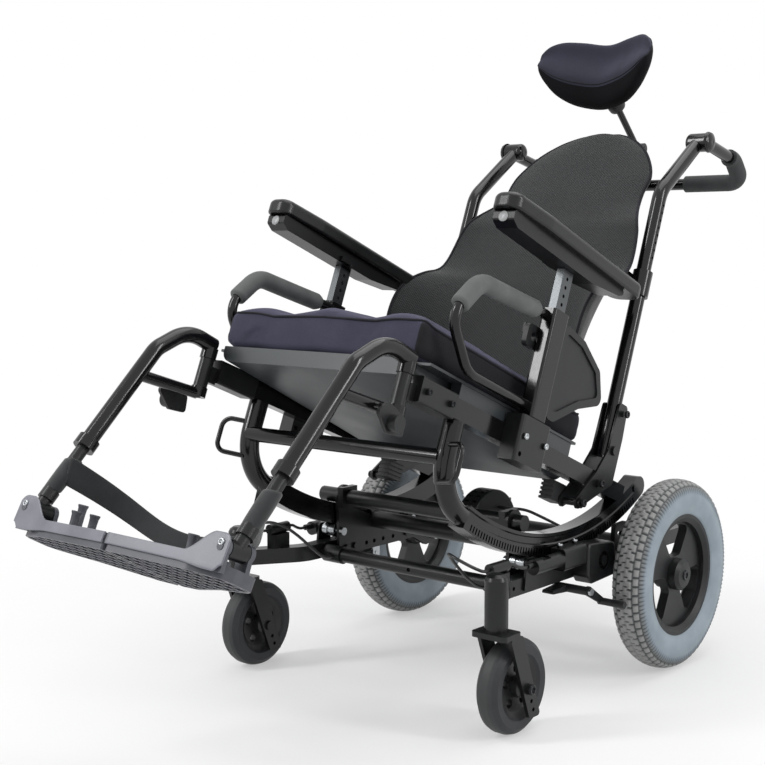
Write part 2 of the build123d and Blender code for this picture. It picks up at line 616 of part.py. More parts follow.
def back_brackets():
    """Boomerang plates either side of the cane, with bolts, spacers and the recline pin."""
    inner0 = SEAT_RAIL_X - SEAT_RAIL_W / 2 - 0.5 - BRACKET_T
    outer0 = SEAT_RAIL_X + SEAT_RAIL_W / 2 + 0.5
    outline = [(278, -206), (282, -262), (280, -342), (186, -410), (176, -394), (222, -336), (246, -290),
               (250, -206)]
    body = None
    for x0 in (inner0, outer0):
        sheet = plate(outline, x0, x0 + BRACKET_T, 8)
        body = sheet if body is None else body + sheet
    x_out = outer0 + BRACKET_T
    for centre, r in ((MID_BOLT, 4), (LOW_BOLT, 6), (BACK_HINGE, 5)):
        body += across(*centre, r, inner0 - 3, x_out + 3)
        body += across(*centre, r + 3, x_out, x_out + 4)
    for y, z in ((266, -222),):
        body += across(y, z, 5, x_out, x_out + 3)
    return body


def bumper_block():
    """Ribbed rubber block under the rear of the seat, beside the plate's lower bolt."""
    x1 = SEAT_RAIL_X - SEAT_RAIL_W / 2 - 0.5 - BRACKET_T
    body = box(x1 - 24, x1, 156, 196, -402, -370)
    for step in range(4):
        z = -398 + 7.5 * step
        for groove in (box(x1 - 25, x1 + 1, 155, 158, z, z + 3), box(x1 - 25, x1 - 22, 155, 197, z, z + 3)):
            body -= groove
    return body - across(*LOW_BOLT, 6 + SEATED, x1 - 4, x1 + 1)


# ---- arms -----------------------------------------------------------------------------------
SLEEVE_TOP = -140.0
ARM_BORE = (225.0, 239.0, -31.0, -3.0)


def arm_frame():
    """Plug, sleeve and transfer loop of one arm."""
    bx0, bx1, by0, by1 = ARM_BORE
    body = box(PLUG_X0, PLUG_X1, PLUG_Y0, PLUG_Y1, -380, -314)
    sleeve = box(219, 245, -38, 4, -314, SLEEVE_TOP)
    body += fillet(sleeve.edges().filter_by(Axis.Z), 5)
    x = 226.0
    loop = bent([(x, -30, -297), (x, -195, -297), (x, -262, -232), (x, -215, -166), (x, -30, -150)],
                [50, 34, 50], 8)
    pad = bent([(x, -228, -184.4), (x, -215, -166), (x, -120, -158.25)], [12], 11)
    body += loop + pad
    body -= box(bx0, bx1, by0, by1, -372, SLEEVE_TOP + 1)
    return body


def arm_guard():
    """Quarter-leaf side guard behind the sleeve, with a raised rim."""
    outline = [(4, -150), (70, -158), (132, -188), (158, -238), (92, -264), (30, -304), (4, -304)]
    sheet = plate(outline, 232, 240, 14)
    inner = [(16, -162), (66, -169), (120, -194), (142, -230), (88, -252), (34, -286), (16, -290)]
    sheet -= plate(inner, 237, 241, 8)
    return sheet - box(200, 260, -40, 4, -400, 0)


POST_LOW = -272.0       # foot of the post, above the socket even when fully lowered
PAD_Y0, PAD_Y1 = -215.0, 180.0
PAD_TOP, PAD_LOW = -22.0, -48.0
TRAY_LOW = -72.0


def arm_post():
    """Telescoping post with its row of holes and the tray that carries the pad."""
    bx0, bx1, by0, by1 = ARM_BORE
    post = box(bx0 + CLEAR, bx1 - CLEAR, by0 + CLEAR, by1 - CLEAR, POST_LOW, TRAY_LOW + 2)
    for step in range(4):
        post -= across((by0 + by1) / 2, -128 + 14 * step, 3, bx0, bx1)
    outline = [(-205, PAD_LOW), (150, PAD_LOW), (120, PAD_LOW - 14), (40, TRAY_LOW), (-190, TRAY_LOW),
               (-205, TRAY_LOW + 8)]
    tray = plate(outline, ARM_X - 19, ARM_X + 19, 5)
    lever = box(ARM_X - 25, ARM_X - 19, -52, -22, -70, -62)
    return post + tray + lever


def arm_pad():
    width = 60.0
    outline = make_face(FilletPolyline(
        (ARM_X - 24, PAD_Y0), (ARM_X + 24, PAD_Y0), (ARM_X + width / 2, -120), (ARM_X + width / 2, PAD_Y1),
        (ARM_X - width / 2, PAD_Y1), (ARM_X - width / 2, -120), radius=[20, 20, 60, 22, 22, 60], close=True))
    pad = Pos(0, 0, PAD_LOW) * extrude(outline, amount=PAD_TOP - PAD_LOW)
    pad = fillet(pad.faces().sort_by(Axis.Z)[-1].edges(), 10)
    return fillet(pad.faces().sort_by(Axis.Z)[0].edges(), 4)


LATCH_PIVOT = (-48.0, -180.0)


def arm_latch():
    """Flat ring lever with a square thumb end, on the inner side of the sleeve."""
    y, z = LATCH_PIVOT
    x0, x1 = 210.0, 218.6
    body = plate([(y - 12, z - 28), (y + 24, z - 28), (y + 24, z + 8), (y - 12, z + 8)], x0, x1, 8)
    body -= across(y + 6, z - 10, 7, x0 - 1, x1 + 1)
    return body + box(x0 - 4, x0, y - 10, y + 6, z - 6, z + 8)


# ---- hangers --------------------------------------------------------------------------------
KNEE = (-402.0, -352.0)
ANKLE = (-526.0, -633.0)


def down_leg(z):
    """The y of the leg's centreline at a height."""
    return KNEE[0] + (ANKLE[0] - KNEE[0]) * (z - KNEE[1]) / (ANKLE[1] - KNEE[1])


LEG_DIR = Vector(0, ANKLE[0] - KNEE[0], ANKLE[1] - KNEE[1]).normalized()
HANGER_END = -528.0


def hanger():
    """Bent tube from the pivot lugs over the knee and down to the leg collar."""
    x = HANGER_X
    path = [(x, POST_Y + 4, -311), (x, -352, -306), (x, down_leg(-352), -352),
            (x, down_leg(HANGER_END), HANGER_END)]
    tube = bent(path, [70, 44], HANGER_R)
    lower = rod((x, down_leg(-400), -400), (x, POST_Y, -391), 9)
    top_lug = rod((x, POST_Y, -333.7), (x, POST_Y, -316), 13)
    low_lug = rod((x, POST_Y, -396), (x, POST_Y, -380.3), 13)
    a = Vector(x, down_leg(HANGER_END + 12), HANGER_END + 12)
    collar = rod(tuple(a), tuple(a + LEG_DIR * 17), HANGER_R + 4)
    body = tube + lower + top_lug + low_lug + collar
    bore_start = Vector(x, down_leg(-440), -440)
    body -= rod(tuple(bore_start), tuple(bore_start + LEG_DIR * 130), LEG_R + CLEAR)
    body -= rod((x, POST_Y, -400), (x, POST_Y, -318), 6 + RUNNING)
    body += across(-352, -395, 4, x + 4, x + 17)
    return body


def hanger_latch():
    """Release lever with a round knob on the outer side of the hanger's lower bar."""
    x = HANGER_X
    arm = plate([(-360, -404), (-342, -386), (-300, -398), (-296, -424), (-330, -428)], x + 17.3, x + 23, 6)
    knob = across(-326, -412, 12, x + 23, x + 37)
    return arm + knob


def leg_extension():
    """Inner leg tube with the clevis lug that the footplate flips on."""
    x = HANGER_X
    top = Vector(x, down_leg(-452), -452)
    low = Vector(x, down_leg(-634), -634)
    tube = rod(tuple(top), tuple(low), LEG_R)
    lug_y = ANKLE[0]
    lug = rod((FLIP_X, lug_y - 16, FLIP_Z), (FLIP_X, lug_y + 16, FLIP_Z), 13)
    band = rod(tuple(low - LEG_DIR * 34), tuple(low - LEG_DIR * 18), LEG_R + 3)
    return tube + lug + band - rod((FLIP_X, lug_y - 40, FLIP_Z), (FLIP_X, lug_y + 40, FLIP_Z), 5 + RUNNING)


FOOT_TOP = -657.0
FOOT_DEEP = 18.0
FOOT_INNER = 3.0
FOOT_WALL = 4.0
FOOT_RIB = 3.0
FOOT_CELL = 19.0
FOOT_RIM = 5.0
FOOT_BRACKETS = ((-24.0, -16.4), (18.4, 26.0))      # both cheeks along Y, from the hinge's middle
HEEL_POSTS = ((118, -524, -626), (118, -492, -624), (166, -478, -612))      # x, y and top
HEEL_POST_R = 6.0


def footplate():
    """Lattice plate under a thin top skin, the bracket on the flip pin and three heel posts."""
    outline = [(FOOT_INNER, -560), (150, -552), (196, -536), (206, -520), (206, -486), (190, -474),
               (120, -452), (40, -412), (FOOT_INNER, -408)]
    face = make_face(FilletPolyline(*outline, radius=[4, 30, 12, 8, 8, 10, 30, 14, 4], close=True))
    solid = Pos(0, 0, FOOT_TOP - FOOT_DEEP) * extrude(face, amount=FOOT_DEEP)
    pockets = []
    for i in range(11):
        for j in range(8):
            middle = Pos(FOOT_INNER + FOOT_WALL + FOOT_CELL * (i + 0.5), -556 + FOOT_CELL * (j + 0.5))
            pockets.append(middle * Rectangle(FOOT_CELL - FOOT_RIB, FOOT_CELL - FOOT_RIB))
    inner = offset(face, -FOOT_WALL)
    cut = inner & Sketch() + pockets
    solid -= Pos(0, 0, FOOT_TOP - FOOT_DEEP - 1) * extrude(cut, amount=FOOT_DEEP - 3)
    rim = extrude(Pos(0, 0, FOOT_TOP) * (face - offset(face, -3)), amount=FOOT_RIM)
    solid += rim & box(0, 205, -570, -530, -700, -600)
    pitched = Pos(0, ANKLE[0], FOOT_TOP) * Rot(-FOOT_PITCH, 0, 0) * Pos(0, -ANKLE[0], -FOOT_TOP)
    under = pitched * (Pos(0, 0, FOOT_TOP - 2 * FOOT_DEEP) * extrude(face, amount=2 * FOOT_DEEP))
    bracket = rod((FLIP_X, ANKLE[0] - 27, FLIP_Z), (FLIP_X, ANKLE[0] + 26, FLIP_Z), 5)
    for low, high in FOOT_BRACKETS:
        y0, y1 = ANKLE[0] + low, ANKLE[0] + high
        bracket += box(FLIP_X - 12, FLIP_X + 9, y0, y1, FOOT_TOP - 10, FLIP_Z)
        bracket += rod((FLIP_X, y0, FLIP_Z), (FLIP_X, y1, FLIP_Z), 12)
    posts = [rod((x, y, FOOT_TOP - 12), (x, y, top), HEEL_POST_R) - under for x, y, top in HEEL_POSTS]
    return [pitched * solid, bracket - under - pitched * solid] + posts


def calf_sleeve(side, low_z=-598):
    x = side * HANGER_X
    a = Vector(x, down_leg(-552), -552)
    b = Vector(x, down_leg(low_z), low_z)
    return rod(tuple(a), tuple(b), LEG_R + 3.5) - rod(tuple(a - LEG_DIR), tuple(b + LEG_DIR), LEG_R + SEATED)


def calf_strap():
    """Sleeve on the right leg and the band that hangs behind the calves."""
    sleeve = calf_sleeve(-1)
    y = down_leg(-575)
    x_end = HANGER_X - LEG_R - 3.5 - 5
    start = (-x_end + 2, y + 4)
    back = (0, y + 70)
    end = (x_end, y + 6)
    band_line = ThreePointArc(start, back, end)
    face = make_face(band_line + Line(end, (end[0], end[1] + 4)) + ThreePointArc(
        (end[0], end[1] + 4), (0, y + 74), (start[0], start[1] + 4)) + Line((start[0], start[1] + 4), start))
    band = Pos(0, 0, -598) * extrude(face, amount=44)
    joined = box(-HANGER_X + 6, -x_end + 3, y - 2, y + 8, -598, -556)
    grip = rod((-HANGER_X, down_leg(-540), -540), (-HANGER_X, down_leg(-610), -610), LEG_R + SEATED)
    return sleeve + band + joined - grip


# ---- back -----------------------------------------------------------------------------------
CANE_LOW = -300.0
KNOB_SPLIT = 2.0        # the cane's knob ends and the handle's begins, outward of the cane's axis


def cane():
    x = CANE_X
    y, z = KNOB
    tube = bent([(x, CANE_Y, CANE_LOW), (x, CANE_Y, 186), (x, y, z)], [60], CANE_R)
    tube -= across(y, z, 19, x + KNOB_SPLIT, x + 20)
    tube += across(y, z, 17, x - 13, x + KNOB_SPLIT)
    tube -= across(y, z, 5 + RUNNING, x - 14, x + 12)
    for step in range(8):
        tube -= across(CANE_Y, 60 + 14 * step, 2.6, x, x + 14)
    return tube - across(*BACK_HINGE, 5 + RUNNING, x - 20, x + 20)


def cane_clamp():
    """Clamp on the cane that carries the back shell, with its thumb bolt."""
    x = CANE_X
    body = rod((x, CANE_Y, -12), (x, CANE_Y, 34), CANE_R + 4.5)
    body += box(x - 12, x - 4, CANE_Y - 2, CANE_Y + 30, -8, 30)
    body += box(x - 34, x - 10, CANE_Y - 54, CANE_Y + 7, 0, 24)
    body += rod((x - 14, CANE_Y + 22, 10), (x - 2, CANE_Y + 22, 10), 5)
    body -= rod((x, CANE_Y, -20), (x, CANE_Y, 40), CANE_R + SEATED)
    body -= BACK_SOLID
    return max(body.solids(), key=lambda s: s.volume)


BACK_SECTIONS = (   # height, half width, depth of the wrap, thickness
    (-212, 190, 70, 34), (-100, 197, 84, 40), (0, 196, 64, 42), (100, 184, 50, 42),
    (200, 151, 42, 40), (275, 142, 36, 36), (330, 104, 20, 28), (348, 56, 6, 16))


def between(rows, steps):
    """The rows with smoothly placed rows added between them."""
    filled = [rows[0]]
    for n in range(len(rows) - 1):
        a, b = rows[n], rows[n + 1]
        before, after = rows[max(n - 1, 0)], rows[min(n + 2, len(rows) - 1)]
        for k in range(1, steps + 1):
            t = k / steps
            filled.append(tuple(
                0.5 * (2 * q + (r - p) * t + (2 * p - 5 * q + 4 * r - s) * t * t
                       + (3 * q - p - 3 * r + s) * t ** 3)
                for p, q, r, s in zip(before, a, b, after)))
    return filled


def back_line(z):
    return 205 + 0.255 * (z + 250)


def back_cushion():
    """Wrap-around back, lofted through curved sections; narrow at the shoulders."""
    sections = []
    for z, half, wrap, thick in between(BACK_SECTIONS, 2):
        rear = back_line(z)
        tip = min(9.0, thick * 0.3)
        front = rear - thick
        edge = rear - wrap
        face = make_face(
            ThreePointArc((-half + 4, edge + tip), (0, rear), (half - 4, edge + tip))
            + ThreePointArc((half - 4, edge + tip), (half, edge), (half - 6, edge - tip))
            + ThreePointArc((half - 6, edge - tip), (0, front), (-half + 6, edge - tip))
            + ThreePointArc((-half + 6, edge - tip), (-half, edge), (-half + 4, edge + tip)))
        sections.append(Pos(0, 0, z) * face)
    return loft(sections, ruled=True)


def push_handle():
    """Stirrup handle that swings on the cane knobs."""
    x = CANE_X + KNOB_SPLIT + CLEAR + HANDLE_R
    y, z = KNOB
    near = [(x, y + 16, z + 2.6), (x, 470, 342), (x, 519, 318)]
    far = [(-px, py, pz) for px, py, pz in reversed(near)]
    stirrup = bent(near + far, [30, 26, 26, 30], HANDLE_R)
    hub = across(y, z, 17, CANE_X + KNOB_SPLIT + CLEAR, x + 12)
    pin = across(y, z, 5, CANE_X - 12, x)
    for piece in pair(hub) + pair(pin):
        stirrup += piece
    return stirrup


def handle_grip():
    x = CANE_X + KNOB_SPLIT + CLEAR + HANDLE_R
    path = [(x, 452, 338.6), (x, 470, 342), (x, 519, 318), (100, 519, 318)]
    grip = bent(path, [30, 26], HANDLE_R + 5)
    core = bent([(x, 369, 325.6), (x, 470, 342), (x, 519, 318), (90, 519, 318)], [30, 26], HANDLE_R)
    return grip - core


# ---- headrest -------------------------------------------------------------------------------
BAR_Y = 480.0
LINK_JOINT = (475.0, 378.0)
PAD_JOINT = (372.0, 418.0)


def headrest_bracket():
    """Arm from the rear of the back shell to the sleeve of the headrest bar."""
    foot_z = 268.0
    rear = back_line(foot_z)
    arm = box(-14, 14, rear - 22, BAR_Y - 14, foot_z - 8, foot_z + 8)
    foot = box(-34, 34, rear - 22, rear + 10, foot_z - 26, foot_z + 26)
    sleeve = box(-22, 22, BAR_Y - 15, BAR_Y + 13, foot_z - 18, foot_z + 18)
    body = foot + arm + sleeve
    body -= box(-13 - CLEAR, 13 + CLEAR, BAR_Y - 4 - CLEAR, BAR_Y + 4 + CLEAR, foot_z - 30, foot_z + 30)
    body += rod((0, BAR_Y + 13, foot_z), (0, BAR_Y + 20, foot_z), 8)
    return body - BACK_SOLID


def headrest_bar():
    y, z = LINK_JOINT
    bar = box(-13, 13, BAR_Y - 4, BAR_Y + 4, 190, z - 16)
    fork = box(-16, 16, y - 11, y + 9, z - 22, z - 12)
    for side in (-1, 1):
        x0, x1 = sorted((side * 9, side * 16))
        fork += box(x0, x1, y - 11, y + 11, z - 14, z)
        fork += across(y, z, 11, x0, x1)
    pin = across(y, z, 4, -18, 18)
    return bar + fork + pin


def headrest_link():
    y, z = LINK_JOINT
    py, pz = PAD_JOINT
    body = across(y, z, 11, -8.7, 8.7)
    body += rod((0, y, z), (0, py, pz), 6.5)
    body += Pos(0, py, pz) * Sphere(11)
    body -= across(y, z, 4 + RUNNING, -20, 20)
    return body


HEAD_SECTIONS = (   # x, centre y, centre z, half depth, half height
    (-118, 262, 462, 9, 16), (-104, 268, 456, 20, 40), (-60, 296, 444, 28, 60), (0, 312, 440, 32, 64),
    (60, 296, 444, 28, 60), (104, 268, 456, 20, 40), (118, 262, 462, 9, 16))


def headrest_pad():
    """Curved pad, lofted through ovals, on a cup that turns about the link's ball."""
    faces = []
    for x, y, z, a, b in HEAD_SECTIONS:
        s = 0.72
        oval = (ThreePointArc((y, z + b), (y + a * s, z + b * s), (y + a, z))
                + ThreePointArc((y + a, z), (y + a * s, z - b * s), (y, z - b))
                + ThreePointArc((y, z - b), (y - a * s, z - b * s), (y - a, z))
                + ThreePointArc((y - a, z), (y - a * s, z + b * s), (y, z + b)))
        faces.append(Plane.YZ.offset(x) * make_face(oval))
    pad = loft(faces)
    py, pz = PAD_JOINT
    cup = rod((0, 336, 424), (0, py - 3, pz + 1), 17)
    cup += rod((0, py - 6, pz), (0, py + 2, pz), 17)
    cup -= Pos(0, py, pz) * Sphere(11 + CLEAR)
    cup -= rod((0, py, pz), (0, py + 60, pz - 24), 14)
    return pad + cup


# ---- assembly -------------------------------------------------------------------------------
BACK_SOLID = back_cushion()

base_nodes = {
    "base_side_rails": [piece for solid in side_rail() for piece in pair(solid)],
    "caster_stem_housings": pair(stem_housing()),
    "base_cross_tubes": cross_tubes(),
    "roller_brackets": pair(roller_plate()) + pair(outer_bracket()),
    "axle_pins": pair(roller_pin(FRONT_ROLLER, RAIL_OUT + 4)) + pair(roller_pin(REAR_ROLLER, RAIL_OUT + 10))
    + pair(stub_axle()) + pair(lock_pivot_pin()),
    "drum_cover": [drum_cover()],
    "tilt_lock_housings": pair(lock_housing()) + pair(cable_anchor()),
    "frame_castings": pair(frame_casting()) + pair(axle_plate()),
    "base_cables": [cable(LOCK_CABLE)] + pair(cable(NOSE_CABLE)) + pair(cable(LOOP_CABLE)),
    "front_rollers": pair(spool(FRONT_ROLLER)),
    "rear_rollers": pair(spool(REAR_ROLLER)),
}
seat_nodes = {
    "rockers": pair(rocker()),
    "rocker_tubes": [rocker_tubes()],
    "seat_rails": pair(seat_rail()),
    "seat_pan": [seat_pan()],
    "seat_cushion": [seat_cushion()],
    "hanger_receivers": pair(hanger_receiver()),
    "arm_sockets": pair(arm_socket()),
    "back_bracket_plates": pair(back_brackets()),
    "bumper_blocks": pair(bumper_block()),
    "back_canes": pair(cane()) + pair(cane_clamp()),
    "back_cushion": [BACK_SOLID],
    "push_handle": [push_handle()],
    "handle_grips": pair(handle_grip()),
    "headrest_bracket": [headrest_bracket()],
    "headrest_bar": [headrest_bar()],
    "headrest_link": [headrest_link()],
    "headrest_pad": [headrest_pad()],
}
base_sided = {
    "tilt_lock_jaw": [lock_jaw()],
    "wheel_lock": [wheel_lock()],
    "rear_wheel": [rear_rim()],
    "rear_tyre": [rear_tyre()],
    "caster_fork": [caster_fork()],
    "caster_wheel": caster_wheel(),
}
seat_sided = {
    "arm_frame": [arm_frame()],
    "side_guard": [arm_guard()],
    "arm_post": [arm_post()],
    "arm_pad": [arm_pad()],
    "arm_latch": [arm_latch()],
    "hanger": [hanger()],
    "hanger_latch": [hanger_latch()],
    "leg_extension": [leg_extension()],
    "footplate": footplate(),
}
for name, solids in base_sided.items():
    base_nodes[name + "_left"] = solids
    base_nodes[name + "_right"] = [mirror(s, about=Plane.YZ) for s in solids]
for name, solids in seat_sided.items():
    seat_nodes[name + "_left"] = solids
    seat_nodes[name + "_right"] = [mirror(s, about=Plane.YZ) for s in solids]
seat_nodes["calf_strap_left"] = [calf_sleeve(1)]
seat_nodes["calf_strap_right"] = [calf_strap()]

nodes = dict(base_nodes)
for name, solids in seat_nodes.items():
    nodes[name] = [SEAT * s for s in solids]

whole = [s.bounding_box() for solids in nodes.values() for s in solids]
Y_SHIFT = -(min(b.min.Y for b in whole) + max(b.max.Y for b in whole)) / 2
Z_SHIFT = -min(b.min.Z for b in whole)

if __name__ == "__main__":
    os.makedirs("parts", exist_ok=True)
    for name, solids in nodes.items():
        placed = [Pos(0, Y_SHIFT, Z_SHIFT) * s for s in solids]
        plain = [Solid(s.wrapped) if isinstance(s, Solid) else s for s in placed]
        export_step(Compound(children=plain), f"parts/{name}.step")
    print(len(nodes), "nodes, shift", round(Y_SHIFT, 3), round(Z_SHIFT, 3))
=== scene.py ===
import bpy
import math
import numpy as np
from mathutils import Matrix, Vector
from mathutils.bvhtree import BVHTree


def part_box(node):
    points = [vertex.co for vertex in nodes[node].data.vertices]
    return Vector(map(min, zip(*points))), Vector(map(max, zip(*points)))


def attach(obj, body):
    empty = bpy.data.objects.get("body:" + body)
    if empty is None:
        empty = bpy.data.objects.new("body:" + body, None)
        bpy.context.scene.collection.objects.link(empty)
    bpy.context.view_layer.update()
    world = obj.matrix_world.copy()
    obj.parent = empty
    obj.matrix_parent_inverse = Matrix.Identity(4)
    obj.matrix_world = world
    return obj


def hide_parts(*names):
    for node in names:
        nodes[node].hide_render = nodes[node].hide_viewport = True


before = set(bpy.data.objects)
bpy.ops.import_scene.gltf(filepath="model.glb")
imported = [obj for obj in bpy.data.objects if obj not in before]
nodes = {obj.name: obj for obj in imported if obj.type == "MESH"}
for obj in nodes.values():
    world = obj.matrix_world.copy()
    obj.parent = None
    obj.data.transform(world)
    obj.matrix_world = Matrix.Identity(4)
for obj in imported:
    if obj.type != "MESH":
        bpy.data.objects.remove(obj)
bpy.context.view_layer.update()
print("frame loaded:", len(nodes), "CAD nodes")

# the seat is drawn upright, in millimetres about the middle of its rocker arcs, then tipped back
seat = {"tilt": math.radians(22.0), "y": -217.0, "z": 741.0}
chassis = {"shiftY": 294.875}
seatUp = (0.0, math.sin(seat["tilt"]), math.cos(seat["tilt"]))
seatRear = (0.0, math.cos(seat["tilt"]), -math.sin(seat["tilt"]))


def fromChassis(points):
    # millimetres with y = 0 at the rear axle, to metres about the middle of the chair
    return (np.asarray(points, float) + [0.0, chassis["shiftY"], 0.0]) * 0.001


def fromSeat(points):
    # turned by the tilt about the X axis through the rocker centre
    p = np.asarray(points, float)
    c, s = math.cos(seat["tilt"]), math.sin(seat["tilt"])
    return fromChassis(np.stack([
        p[..., 0],
        seat["y"] + p[..., 1] * c + p[..., 2] * s,
        seat["z"] - p[..., 1] * s + p[..., 2] * c], -1))


# ---- camera
cameraSettings = {"place": (1.3931, -1.793125, 0.7148), "turn": (84.44, 0.0, 40.0), "lens": 64.555}
cameraData = bpy.data.cameras.new("camera")
cameraData.lens = cameraSettings["lens"]
cameraData.sensor_width = 36.0
camera = bpy.data.objects.new("camera", cameraData)
camera.location = cameraSettings["place"]
camera.rotation_euler = [math.radians(a) for a in cameraSettings["turn"]]
bpy.context.scene.collection.objects.link(camera)
bpy.context.scene.camera = camera
bpy.context.scene.view_settings.view_transform = "Standard"


# ---- mesh makers
def meshPiece(name, points, faces, body, material, uv=None, smooth=True):
    mesh = bpy.data.meshes.new(name)
    mesh.from_pydata(np.asarray(points, float).tolist(), [], faces)
    mesh.materials.append(material)
    mesh.polygons.foreach_set("use_smooth", [smooth] * len(mesh.polygons))
    if uv is not None:
        corner = np.zeros(len(mesh.loops), int)
        mesh.loops.foreach_get("vertex_index", corner)
        layer = mesh.uv_layers.new(name="surface")
        layer.data.foreach_set("uv", np.asarray(uv, float)[corner].astype(np.float32).ravel())
    mesh.update()
    piece = bpy.data.objects.new(name, mesh)
    bpy.context.scene.collection.objects.link(piece)
    if body:
        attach(piece, body)
    return piece


def gridFaces(rows, columns, closed, turnOver=False, start=0):
    # one quad between neighbouring rows and columns; closed joins the last column to the first
    r = np.arange(rows - 1)[:, None]
    c = np.arange(columns if closed else columns - 1)[None, :]
    d = (c + 1) % columns
    quads = np.stack([r * columns + c, r * columns + d, (r + 1) * columns + d, (r + 1) * columns + c], -1)
    quads = quads.reshape(-1, 4) + start
    return (quads[:, ::-1] if turnOver else quads).tolist()


def fan(ring, tip, turnOver=False):
    nextOne = np.roll(ring, -1)
    faces = np.stack([ring, nextOne, np.full(len(ring), tip)], -1)
    return (faces[:, ::-1] if turnOver else faces).tolist()


def ringedPiece(name, rings, body, material, turnOver=False, capped=True, uv=None):
    # closed rings one after the other, each end closed by a fan to its middle
    rows, columns = rings.shape[:2]
    points = rings.reshape(-1, 3)
    faces = gridFaces(rows, columns, True, turnOver)
    if capped:
        points = np.vstack([points, rings[0].mean(0), rings[-1].mean(0)])
        count = rows * columns
        faces += fan(np.arange(columns), count, not turnOver)
        faces += fan(np.arange(columns) + (rows - 1) * columns, count + 1, turnOver)
        if uv is not None:
            uv = np.vstack([uv, uv[:columns].mean(0), uv[-columns:].mean(0)])
    return meshPiece(name, points, faces, body, material, uv)


def sideWord(side):
    return "left" if side > 0 else "right"


def unit(v):
    v = np.asarray(v, float)
    return v / np.linalg.norm(v, axis=-1, keepdims=True)


def alongPath(path, profile, side):
    # each row is the profile (across, up) carried to a point of the path, square to its tangent
    path = np.asarray(path, float)
    tangent = unit(np.gradient(path, axis=0))
    up = unit(np.cross(tangent, side))
    across = np.cross(up, tangent)
    profile = np.asarray(profile, float)
    if profile.ndim == 2:
        profile = np.broadcast_to(profile, (len(path),) + profile.shape)
    return path[:, None] + profile[..., :1] * across[:, None] + profile[..., 1:] * up[:, None]


def circle(radius, count=16):
    a = np.linspace(0, 2 * np.pi, count, endpoint=False)
    return np.stack([radius * np.cos(a), radius * np.sin(a)], -1)


def smoothRows(rows, count):
    # Catmull-Rom curve through the rows of a table, sampled evenly
    rows = np.asarray(rows, float)
    rows = rows[:, None] if rows.ndim == 1 else rows
    t = np.linspace(0, len(rows) - 1, count)
    k = np.minimum(t.astype(int), len(rows) - 2)
    f = (t - k)[:, None]
    padded = np.vstack([2 * rows[0] - rows[1], rows, 2 * rows[-1] - rows[-2]])
    p, q, r, s = padded[k], padded[k + 1], padded[k + 2], padded[k + 3]
    square = 2 * p - 5 * q + 4 * r - s
    cube = 3 * q - p - 3 * r + s
    return 0.5 * (2 * q + (r - p) * f + square * f ** 2 + cube * f ** 3)


def step(value, low, high):
    t = np.clip((value - low) / (high - low), 0, 1)
    return t * t * (3 - 2 * t)


def turnedAbout(profile, spots, directions, count=24, hexFrom=None):
    # (along, radius) pairs turned about each spot's direction; radii of rows from hexFrom on are hexagons
    profile = np.asarray(profile, float)
    spots = np.asarray(spots, float)
    axis = unit(directions)
    helper = np.where(np.abs(axis[:, :1]) < 0.9, [[1.0, 0, 0]], [[0, 1.0, 0]])
    a = unit(np.cross(axis, helper))
    b = np.cross(axis, a)
    angle = np.linspace(0, 2 * np.pi, count, endpoint=False)
    radius = np.repeat(profile[:, 1:], count, 1)
    if hexFrom is not None:
        wedge = (angle + np.pi / 6) % (np.pi / 3) - np.pi / 6
        radius[hexFrom:] = radius[hexFrom:] / np.cos(wedge)
    ring = np.cos(angle)[:, None] * a[:, None, None] + np.sin(angle)[:, None] * b[:, None, None]
    return (spots[:, None, None] + profile[:, 0][None, :, None, None] * axis[:, None, None]
            + radius[None, :, :, None] * ring)


# ---- materials
def linear(code):
    c = np.array([int(code[i:i + 2], 16) for i in (1, 3, 5)]) / 255
    return tuple(np.where(c <= 0.04045, c / 12.92, ((c + 0.055) / 1.055) ** 2.4)) + (1.0,)


def addNode(tree, kind, values=None, links=None, **settings):
    node = tree.nodes.new(kind)
    for name, value in settings.items():
        setattr(node, name, value)
    for socket, value in (values or {}).items():
        node.inputs[socket].default_value = value
    for socket, source in (links or {}).items():
        tree.links.new(source, node.inputs[socket])
    return node


def startMaterial(name, **sockets):
    material = bpy.data.materials.new(name)
    material.use_nodes = True
    tree = material.node_tree
    tree.nodes.clear()
    shader = addNode(tree, "ShaderNodeBsdfPrincipled")
    for socket, value in sockets.items():
        shader.inputs[socket.replace("_", " ")].default_value = value
    addNode(tree, "ShaderNodeOutputMaterial", links={"Surface": shader.outputs[0]})
    place = addNode(tree, "ShaderNodeTexCoord")
    return material, tree, shader, place


def mixColours(tree, factor, low, high):
    # low and high are sockets or hex codes
    mix = addNode(tree, "ShaderNodeMix", data_type="RGBA", links={"Factor": factor})
    for socket, colour in ((6, low), (7, high)):
        if isinstance(colour, str):
            mix.inputs[socket].default_value = linear(colour)
        else:
            tree.links.new(colour, mix.inputs[socket])
    return mix.outputs[2]


def ranged(tree, source, low, high, toLow, toHigh):
    return addNode(tree, "ShaderNodeMapRange", {1: low, 2: high, 3: toLow, 4: toHigh}, {0: source}).outputs[0]


def noise(tree, spot, scale, detail, **more):
    values = {"Scale": scale, "Detail": detail, **more}
    return addNode(tree, "ShaderNodeTexNoise", values, {"Vector": spot}).outputs[0]


def raised(tree, shader, height, strength, distance):
    bump = addNode(tree, "ShaderNodeBump", {"Strength": strength, "Distance": distance}, {"Height": height})
    tree.links.new(bump.outputs[0], shader.inputs["Normal"])
    return bump


def combined(tree, operation, first, second):
    return addNode(tree, "ShaderNodeMath", links={0: first, 1: second}, operation=operation).outputs[0]


def vectorMath(tree, operation, spot, other=None):
    values = {} if other is None else {1: other}
    return addNode(tree, "ShaderNodeVectorMath", values, {0: spot}, operation=operation)


def seatHeight(tree, spot):
    # distance along the seat's own up
    return vectorMath(tree, "DOT_PRODUCT", spot, seatUp).outputs["Value"]


